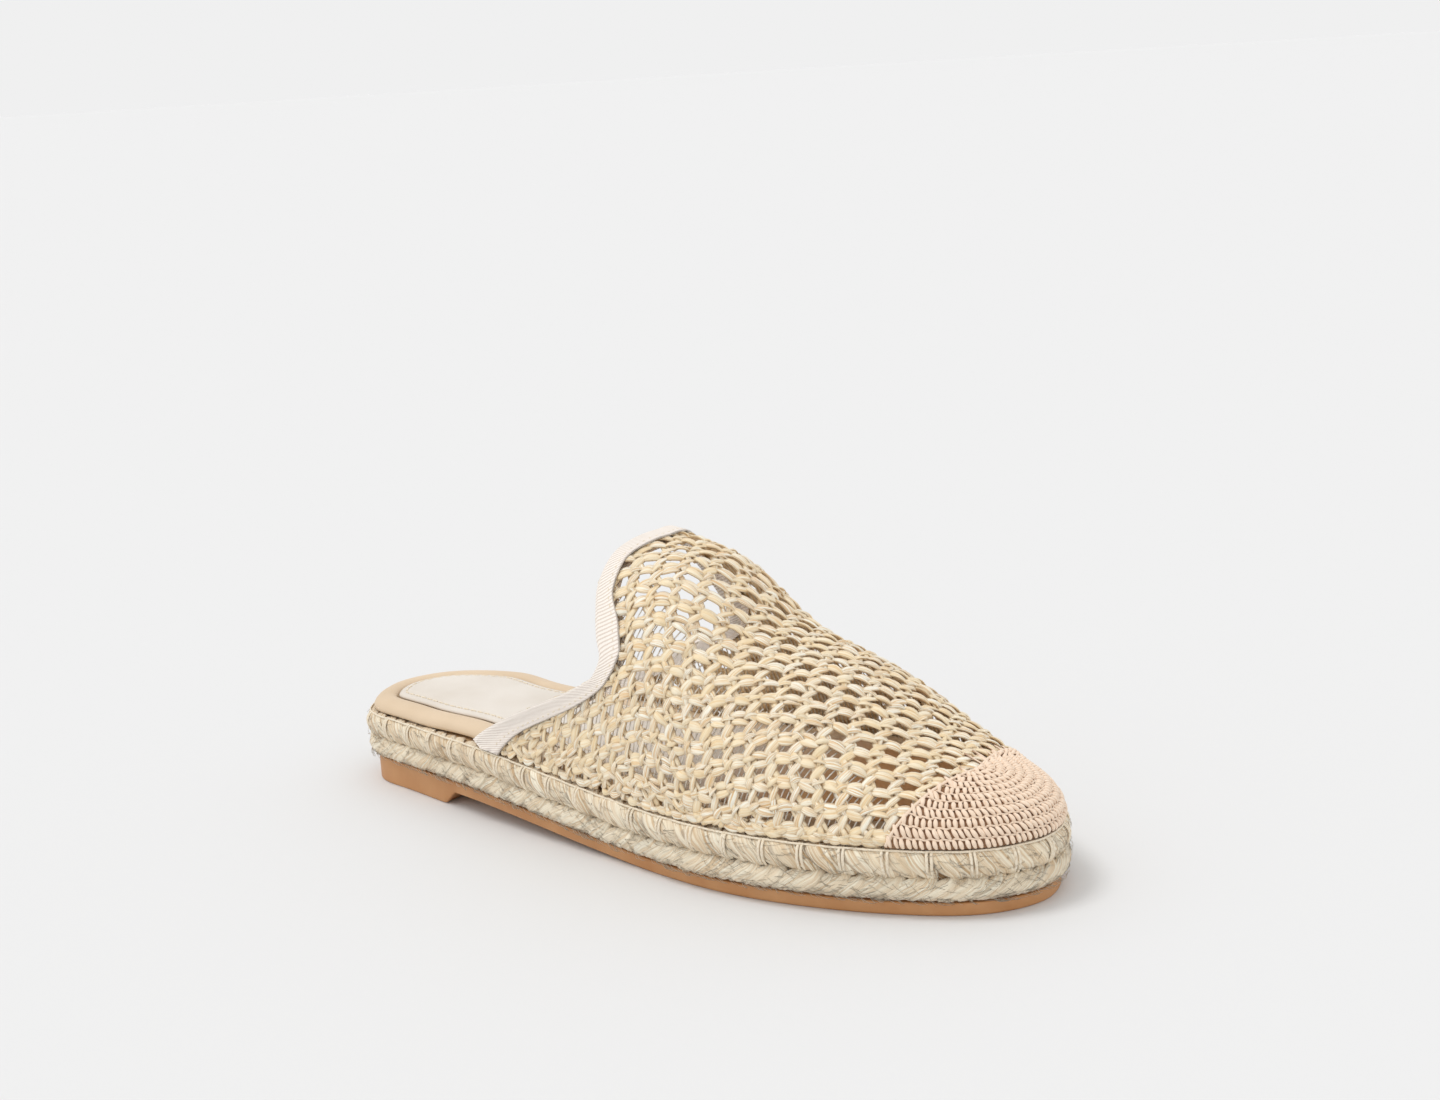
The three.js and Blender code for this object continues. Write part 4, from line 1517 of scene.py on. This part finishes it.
    def beads(self) -> None:
        """Lays the long beads, two leaves to each, one over the other."""
        rng, press, leaf = BEAD.start()
        t = press.share
        for a, b in self.cells(0, 0, self.overhang):
            for tilt, aside, bow in self.bead_leaves:
                half = self.cell_length * rng.uniform(*self.bead_shares)
                slope = rng.normal(0, self.bead_slope) + tilt
                shift = (rng.uniform(*self.bead_strays) + aside) * MM
                course = a + rng.uniform(*self.bead_bends) * MM + (t * 2 - 1) * half
                line = b + shift + (t * 2 - 1) * half * slope
                line = line + rng.uniform(*self.bead_bends) * MM * hump(t)
                lift = (self.bead_sink + bow * hump(t)) * MM
                shape = BEAD.draw(rng, leaf)
                shape["roll"] = shape["roll"] + (t - 0.5) * rng.normal(0, self.bead_turn)
                shape["twist"] = rng.uniform(*self.bead_twists)
                self.lay(press, course, line, lift, **shape)
        dress(press.piece("raffia_beads"), self.raffia, "mesh_upper")

    def crossings(self) -> None:
        """Lays the two strands that cross between neighbouring holes."""
        rng, press, body = CROSSING.start()
        t = press.share
        run = mix(*self.crossing_run, t)
        dip = self.crossing_dip * np.cos(t * math.pi) ** 4
        for a, b in self.cells(0.5, 0.5, self.crossing_overhang):
            for side, over in self.crossing_sides:
                swing = side * rng.uniform(*self.crossing_swings) * MM
                stray = rng.uniform(*self.crossing_strays) * MM
                course = a + swing * np.cos(run * math.pi) + stray
                line = b + (run - 0.5) * self.cell_height
                lift = (self.crossing_sink + over * hump(t) ** 2) * MM - dip
                self.lay(press, course, line, lift, **CROSSING.draw(rng, body, side))
        dress(press.piece("raffia_crossings"), self.raffia)

    def wraps(self) -> None:
        """Lays the short wraps that bind a row between two beads."""
        rng, press, body = WRAP.start()
        t = press.share
        for a, b in self.cells(0.5, 0, self.overhang):
            for tilt, bow in self.wrap_leaves:
                way = (t * 2 - 1) * rng.uniform(*self.wrap_half) * MM
                lean = rng.normal(*self.wrap_lean) + tilt
                course = a + rng.uniform(*self.wrap_strays_along) * MM + way * math.sin(lean)
                line = b + rng.uniform(*self.wrap_strays_across) * MM - way * math.cos(lean)
                lift = (self.wrap_sink + bow * hump(t)) * MM
                self.lay(press, course, line, lift, **WRAP.draw(rng, body))
        dress(press.piece("raffia_wraps"), self.raffia)

    def selvedge(self) -> None:
        """Lays the dense knots along the foot of the net, on both sides."""
        rng, press, leaf = KNOT.start()
        t = press.share
        length = self.knots_to - self.knots_from
        count = round(length / self.knot_pitch)
        for side in Side:
            for i, bow in product(range(count), self.knot_bows):
                x = self.knots_from + (i + rng.uniform(*self.knot_strays)) * length / count
                x = x + (t - 0.5) * rng.uniform(*self.knot_run) * MM
                turn = rng.uniform(*self.knot_turn) + (t - 0.5) * rng.uniform(*self.knot_climb)
                turn = turn if side is Side.OUTER else math.pi - turn
                lift = (self.knot_sink + bow * hump(t)) * MM
                points, out = self.form.at(self.within(x, turn), turn, lift)
                if reached(points)[-1] >= 2 * MM:
                    press.lay(points, out, **KNOT.draw(rng, leaf))
        dress(press.piece("raffia_selvedge"), self.raffia)

    def filaments(self) -> None:
        """Lays the fine straight threads that show behind the holes of the sides."""
        press = StrandPress(sides=4, rings=4)
        reach = self.reach_cells * self.cell_height
        lines = np.arange(-reach, reach, self.filament_pitch)
        runs = np.arange(-reach, reach, self.filament_step)
        line, run = np.meshgrid(lines, runs)
        middle = run.ravel() + self.filament_step / 2
        lean, rise = math.cos(self.filament_lean), -math.sin(self.filament_lean)
        a = middle * lean - line.ravel() * rise
        b = middle * rise + line.ravel() * lean
        _, drop = self.spread(a, b)
        kept = (self.outside(a, b) < self.overhang) & (np.abs(drop) > self.bare_ridge)
        way = (press.share - 0.5) * self.filament_step * self.filament_overlap
        lift = np.full(len(way), self.filament_lift)
        wide, thick = self.filament_half
        for centre_a, centre_b in zip(a[kept], b[kept]):
            course, across = centre_a + way * lean, centre_b + way * rise
            self.lay(press, course, across, lift, half_width=wide, half_thick=thick)
        dress(press.piece("lining_filaments"), FILAMENT.make())

    def build(self) -> None:
        """Builds the net."""
        self.raffia = RAFFIA.make()
        self.beads()
        self.crossings()
        self.wraps()
        self.selvedge()
        self.filaments()


@dataclass
class CrochetCap:
    """Crochet toe cap: rows of slanting stitches parallel to the sole, on a closed ground."""

    form: UpperForm
    seed: int = 31
    row_pitch: float = 2.65 * MM
    stitch_pitch: float = 1.72 * MM
    half_width: float = 0.71 * MM
    half_thick: float = 0.7 * MM
    width_shares: Pair = (0.9, 1.08)
    leans: Pair = (0.3, 0.62)
    level_strays: Pair = (-0.05, 0.05)
    pitch_strays: Pair = (-0.1, 0.1)
    stitch_lift: Pair = (-0.15, 0.55)
    blunt: float = 0.08
    fullness: float = 0.45
    lowest: float = 0.012
    shortest: float = 0.8 * MM
    ground_faces: tuple[int, int] = (90, 22)
    ground_lifts: Pair = (-0.25 * MM, -1.9 * MM)
    chain_half: Pair = (0.34 * MM, 0.3 * MM)
    chain_overlap: float = 1.15
    chain_wave: float = 0.012
    chain_lift: Pair = (0.12, 0.2)
    chain_strays: Pair = (-0.006, 0.006)
    edge_half: Pair = (0.5 * MM, 0.45 * MM)
    edge_pitch: float = 2.58 * MM
    edge_overlap: float = 1.2
    edge_forward: float = 0.3 * MM
    edge_lift: Pair = (0.2, 0.25)
    samples: int = 300

    def span(self, angle: float) -> tuple[float, float]:
        """Returns the shares of the way round where a level of the cap starts and ends."""
        x = self.form.cap_x(np.array(angle))
        return tuple(float(self.form.foot_share(x, side)) for side in (Side.OUTER, Side.INNER))

    def at(self, share: Array, angle: Array, lift: Array | float) -> tuple[Array, Array]:
        """Finds points of the cap and their outward directions.

        Args:
            share: shares of the way round the sole.
            angle: angles of the arch.
            lift: how far outside the upper's surface they lie.

        Returns:
            The points and the outward directions.
        """
        normal = self.form.normal(share, angle)
        lift = np.asarray(lift)[..., None]
        return self.form.surface(share, angle) + normal * lift, normal

    def ground(self) -> None:
        """Builds the closed wall behind the stitches, coloured darker than the cotton as painted
        shade in their gaps.
        """

        def place(along: Array, up: Array, lift: float) -> Array:
            """Returns the wall's points.

            Args:
                along: shares from the outer to the inner end of a level.
                up: shares of the climb from the sole to the ridge.
                lift: how far outside the upper's surface they lie.

            Returns:
                The points, one row each.
            """
            angle = up * RIDGE
            spans = np.array([self.span(v) for v in angle])
            share = mix(spans[:, 0], spans[:, 1], along)
            return self.at(share, angle, lift)[0]

        obj = as_object("crochet_ground", wall(*self.ground_faces, place, self.ground_lifts))
        dress(obj, CROCHET_GROUND_SHADE.make(), "toe_cap")

    def levels(self) -> Array:
        """Returns the angles that part the rows evenly over the toe."""
        toe = float(self.form.feet[Side.OUTER][1][-1])
        angles = np.linspace(0, RIDGE, 200)
        walked = reached(self.form.surface(np.full(len(angles), toe), angles))
        count = round(walked[-1] / self.row_pitch)
        return np.interp(np.linspace(0, walked[-1], count + 1), walked, angles)

    def build(self) -> None:
        """Builds the ground, the rows of stitches and the chains between them."""
        self.ground()
        rng = np.random.default_rng(self.seed)
        cotton = COTTON.make()
        levels = self.levels()
        stitches, chains = StrandPress(sides=8, rings=7), StrandPress(sides=6, rings=6)
        for number, (low, high) in enumerate(zip(levels[:-1], levels[1:])):
            self.row(stitches, rng, self.leans[number % 2], low, high)
            if number:
                self.chain(chains, rng, low)
        self.edge(chains)
        dress(stitches.piece("crochet_stitches"), cotton)
        dress(chains.piece("crochet_chains"), cotton)

    def edge(self, press: StrandPress) -> None:
        """Lays the crocheted chain along the cap's rear edge, from foot to foot.

        Args:
            press: the press that bends the chains.
        """
        fine = np.linspace(FOOT_TURN, math.pi - FOOT_TURN, 2 * self.samples)
        line, _ = self.form.at(self.form.cap_x(fine), fine, 0.0)
        walked = reached(line)
        count = round(walked[-1] / self.edge_pitch)
        sink, bow = self.edge_lift
        lift = (sink + bow * hump(press.share)) * MM
        for i in range(count):
            at = (i + press.share * self.edge_overlap) * walked[-1] / count
            turn = np.interp(at, walked, fine)
            points, out = self.form.at(self.form.cap_x(turn) + self.edge_forward, turn, lift)
            press.lay(points, out, *self.edge_half, **LOOSE_CHAIN)

    def marks(self, angle: float, pitch: float) -> tuple[Array, float]:
        """Parts one level of the cap evenly.

        Args:
            angle: the level.
            pitch: the wanted distance between marks.

        Returns:
            The shares of the way round at the marks, and the share from mark to mark.
        """
        start, end = self.span(angle)
        fine = np.linspace(start, end, self.samples)
        walked = reached(self.form.surface(fine, np.full(len(fine), angle)))
        count = max(2, round(walked[-1] / pitch))
        even = np.interp(np.linspace(0, walked[-1], count + 1), walked, fine)
        return even, (end - start) / count

    def row(
        self, press: StrandPress, rng: np.random.Generator, lean: float, low: float, high: float
    ) -> None:
        """Lays one row of stitches.

        Args:
            press: the press that bends them.
            rng: the cap's random draws.
            lean: how far a stitch leans to either side, as a share of its pitch.
            low: the level that the row stands on.
            high: the level above it.
        """
        t = press.share
        marks, step = self.marks((low + high) / 2, self.stitch_pitch)
        body = taper(t, self.blunt, self.fullness)
        sink, bow = self.stitch_lift
        lift = (sink + bow * hump(t)) * MM
        for mark in (marks[:-1] + marks[1:]) / 2:
            angle = mix(low, high, t) + rng.uniform(*self.level_strays) * (high - low)
            angle = np.clip(angle, self.lowest, RIDGE)
            share = mark + (lean * (1 - 2 * t) + rng.uniform(*self.pitch_strays)) * step
            points, normal = self.at(share, angle, lift)
            if reached(points)[-1] >= self.shortest:
                wide = self.half_width * rng.uniform(*self.width_shares) * body
                press.lay(points, normal, wide, self.half_thick * body, **CROCHET_YARN)

    def chain(self, press: StrandPress, rng: np.random.Generator, level: float) -> None:
        """Lays the thin chain between two rows.

        Args:
            press: the press that bends the chains.
            rng: the cap's random draws.
            level: the angle between the two rows.
        """
        marks, step = self.marks(level, 2 * self.stitch_pitch)
        sink, bow = self.chain_lift
        lift = (sink + bow * hump(press.share)) * MM
        wave = self.chain_wave * np.sin(press.share * TURN)
        for mark in marks[:-1]:
            share = mark + press.share * step * self.chain_overlap
            angle = level + wave + rng.uniform(*self.chain_strays)
            points, normal = self.at(share, angle, lift)
            if reached(points)[-1] > self.shortest:
                press.lay(points, normal, *self.chain_half, **LOOSE_CHAIN)


@dataclass
class RibbonBinding:
    """Ribbon folded over the collar, with a line of stitches near its inner edge."""

    form: UpperForm
    width: float = 7.5 * MM
    thickness: float = 0.6 * MM
    clearance: float = 0.3 * MM
    fold_depth: float = 1.1 * MM
    fold_proud: float = 0.1 * MM
    fold_hidden: float = 0.45 * MM
    foot_round: float = 3.2 * MM
    stations: int = 260
    samples: int = 900
    first_turn: float = 0.001
    top_shares: tuple[float, ...] = (1, 0.97, 0.9, 0.82, 0.76, 0.7, 0.55, 0.35, 0.18)
    top_dips: tuple[float, ...] = (0.12, 0.02, 0, 0.02, 0.2, 0.02, 0, 0, 0)
    stitch_reach: float = 5.7 * MM
    stitch_pitch: float = 2.6 * MM
    stitch_cover: float = 0.68
    stitch_sink: float = 0.1 * MM
    stitch_dive: float = 0.28 * MM
    stitch_half: Pair = (0.24 * MM, 0.2 * MM)

    def section(self) -> Array:
        """Returns the ribbon's section: reach from the fold and lift, once round."""
        outer = self.clearance + self.thickness
        inner = -self.form.wall - self.clearance
        flat = np.array(self.top_shares) * self.width
        bend = np.linspace(0, math.pi, 9)[1:-1]
        middle, radius = (outer + inner - self.thickness) / 2, (outer - inner + self.thickness) / 2
        fold = self.fold_depth * (1 - np.sin(bend))
        sides = (
            (flat, outer - np.array(self.top_dips) * MM),
            (fold - self.fold_proud, middle + radius * np.cos(bend)),
            (flat[::-1], inner - self.thickness),
            (flat, inner),
            (fold + self.fold_hidden, middle - (radius - self.thickness) * np.cos(bend)),
            (flat[::-1], self.clearance),
        )
        return np.vstack([np.column_stack(np.broadcast_arrays(*side)) for side in sides])

    def build(self) -> None:
        """Builds the ribbon and its stitches."""
        section = self.section()
        turns = np.linspace(self.first_turn, math.pi - self.first_turn, self.stations)
        line, _ = self.form.at(self.form.collar_x(turns, 0.0), turns, 0.0)
        from_foot = np.minimum(reached(line), reached(line[::-1])[::-1])
        rings = []
        for turn, way in zip(turns, from_foot):
            level = np.full(len(section), turn)
            left = max(0.0, self.foot_round - way)
            corner = self.foot_round - math.sqrt(self.foot_round**2 - left**2)
            x = self.form.collar_x(level, np.maximum(section[:, 0], corner))
            rings.append(self.form.at(x, level, section[:, 1])[0])
        bm = loft(rings)
        walked = reached(np.array([ring[0] for ring in rings]))
        across = reached(section)
        uv = bm.loops.layers.uv.new("Ribbon")
        source = bm.loops.layers.uv["Loft"]
        for face in bm.faces:
            for loop in face.loops:
                place = loop[source].uv
                u = np.interp(place.x * len(section), range(len(section)), across)
                v = np.interp(place.y * (len(turns) - 1), range(len(turns)), walked)
                loop[uv].uv = (u, v)
        dress(as_object("ribbon_binding", bm), RibbedRibbon().make(), "collar_binding")
        self.stitches()

    def stitches(self) -> None:
        """Sews the ribbon down along a line near its inner edge."""
        press = StrandPress(sides=6, rings=6)
        top = self.clearance + self.thickness
        fine = np.linspace(FOOT_TURN, math.pi - FOOT_TURN, self.samples)
        line, _ = self.form.at(self.form.collar_x(fine, self.stitch_reach), fine, top)
        walked = reached(line)
        count = round(walked[-1] / self.stitch_pitch)
        lift = top - self.stitch_sink - self.stitch_dive * np.abs(press.share * 2 - 1) ** 3
        for i in range(count):
            at = stitch_rings(press.share, i, self.stitch_cover) * walked[-1] / count
            turn = np.interp(at, walked, fine)
            x = self.form.collar_x(turn, self.stitch_reach)
            points, out = self.form.at(x, turn, lift)
            press.lay(points, out, *self.stitch_half, **RIBBON_THREAD)
        dress(press.piece("ribbon_stitches"), TWINE.make())


@dataclass
class Studio:
    """Pale floor, even air, one soft sun and the camera at the photo's angle."""

    eye: Vector = field(default_factory=lambda: Vector((388.687, -475.957, 226.292)) * MM)
    azimuth: float = math.radians(37.952)
    elevation: float = math.radians(13.032)
    roll: float = math.radians(-3.464)
    lens: float = 52.80
    sensor: float = 36
    nearest: float = 10 * MM
    floor_radius: float = 40.0
    air: float = 0.871
    sun_aim: tuple[float, float, float] = (0.35, 0.25, -1.0)
    sun_power: float = 0.9
    sun_width: float = math.radians(20)

    def camera(self) -> None:
        """Sets the camera."""
        sin_a, cos_a = math.sin(self.azimuth), math.cos(self.azimuth)
        sin_e, cos_e = math.sin(self.elevation), math.cos(self.elevation)
        back = Vector((sin_a * cos_e, -cos_a * cos_e, sin_e))
        right = Vector((cos_a, sin_a, 0))
        level = Matrix((right, back.cross(right), back)).transposed()
        turned = level @ Matrix.Rotation(self.roll, 3, "Z")
        data = bpy.data.cameras.new("camera")
        data.lens = self.lens
        data.sensor_width = self.sensor
        data.sensor_fit = "HORIZONTAL"
        data.clip_start = self.nearest
        camera = in_scene("camera", data)
        camera.matrix_world = Matrix.Translation(self.eye) @ turned.to_4x4()
        bpy.context.scene.camera = camera

    def floor(self) -> None:
        """Builds the round floor, as wide as the camera sees."""
        bm = bmesh.new()
        bmesh.ops.create_circle(bm, cap_ends=True, segments=96, radius=self.floor_radius)
        floor = as_object("studio_floor", bm)
        floor.data.materials.append(PlainFloor().make())

    def light(self) -> None:
        """Lights the shoe evenly from the air and with one far, soft sun."""
        world = bpy.data.worlds.new("studio_air")
        world.use_nodes = True
        background = world.node_tree.nodes["Background"]
        background.inputs["Color"].default_value = (1, 1, 1, 1)
        background.inputs["Strength"].default_value = self.air
        bpy.context.scene.world = world
        data = bpy.data.lights.new("key", "SUN")
        data.energy = self.sun_power
        data.angle = self.sun_width
        sun = in_scene("key", data)
        sun.rotation_euler = Vector(self.sun_aim).to_track_quat("-Z", "Y").to_euler()

    def build(self) -> None:
        """Builds the studio."""
        self.camera()
        self.floor()
        self.light()
        view = bpy.context.scene.view_settings
        view.view_transform = "Standard"
        view.look = "None"


def main() -> None:
    """Builds every piece in order."""
    logging.basicConfig(level=logging.INFO, format="%(name)s: %(message)s")
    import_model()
    last = Last()
    form = UpperForm(last)
    Studio().build()
    RubberOutsole(last).build()
    JuteBraid(last).build()
    Insole(last).build()
    RaffiaNet(form).build()
    CrochetCap(form).build()
    RibbonBinding(form).build()


if __name__ == "__main__":
    main()
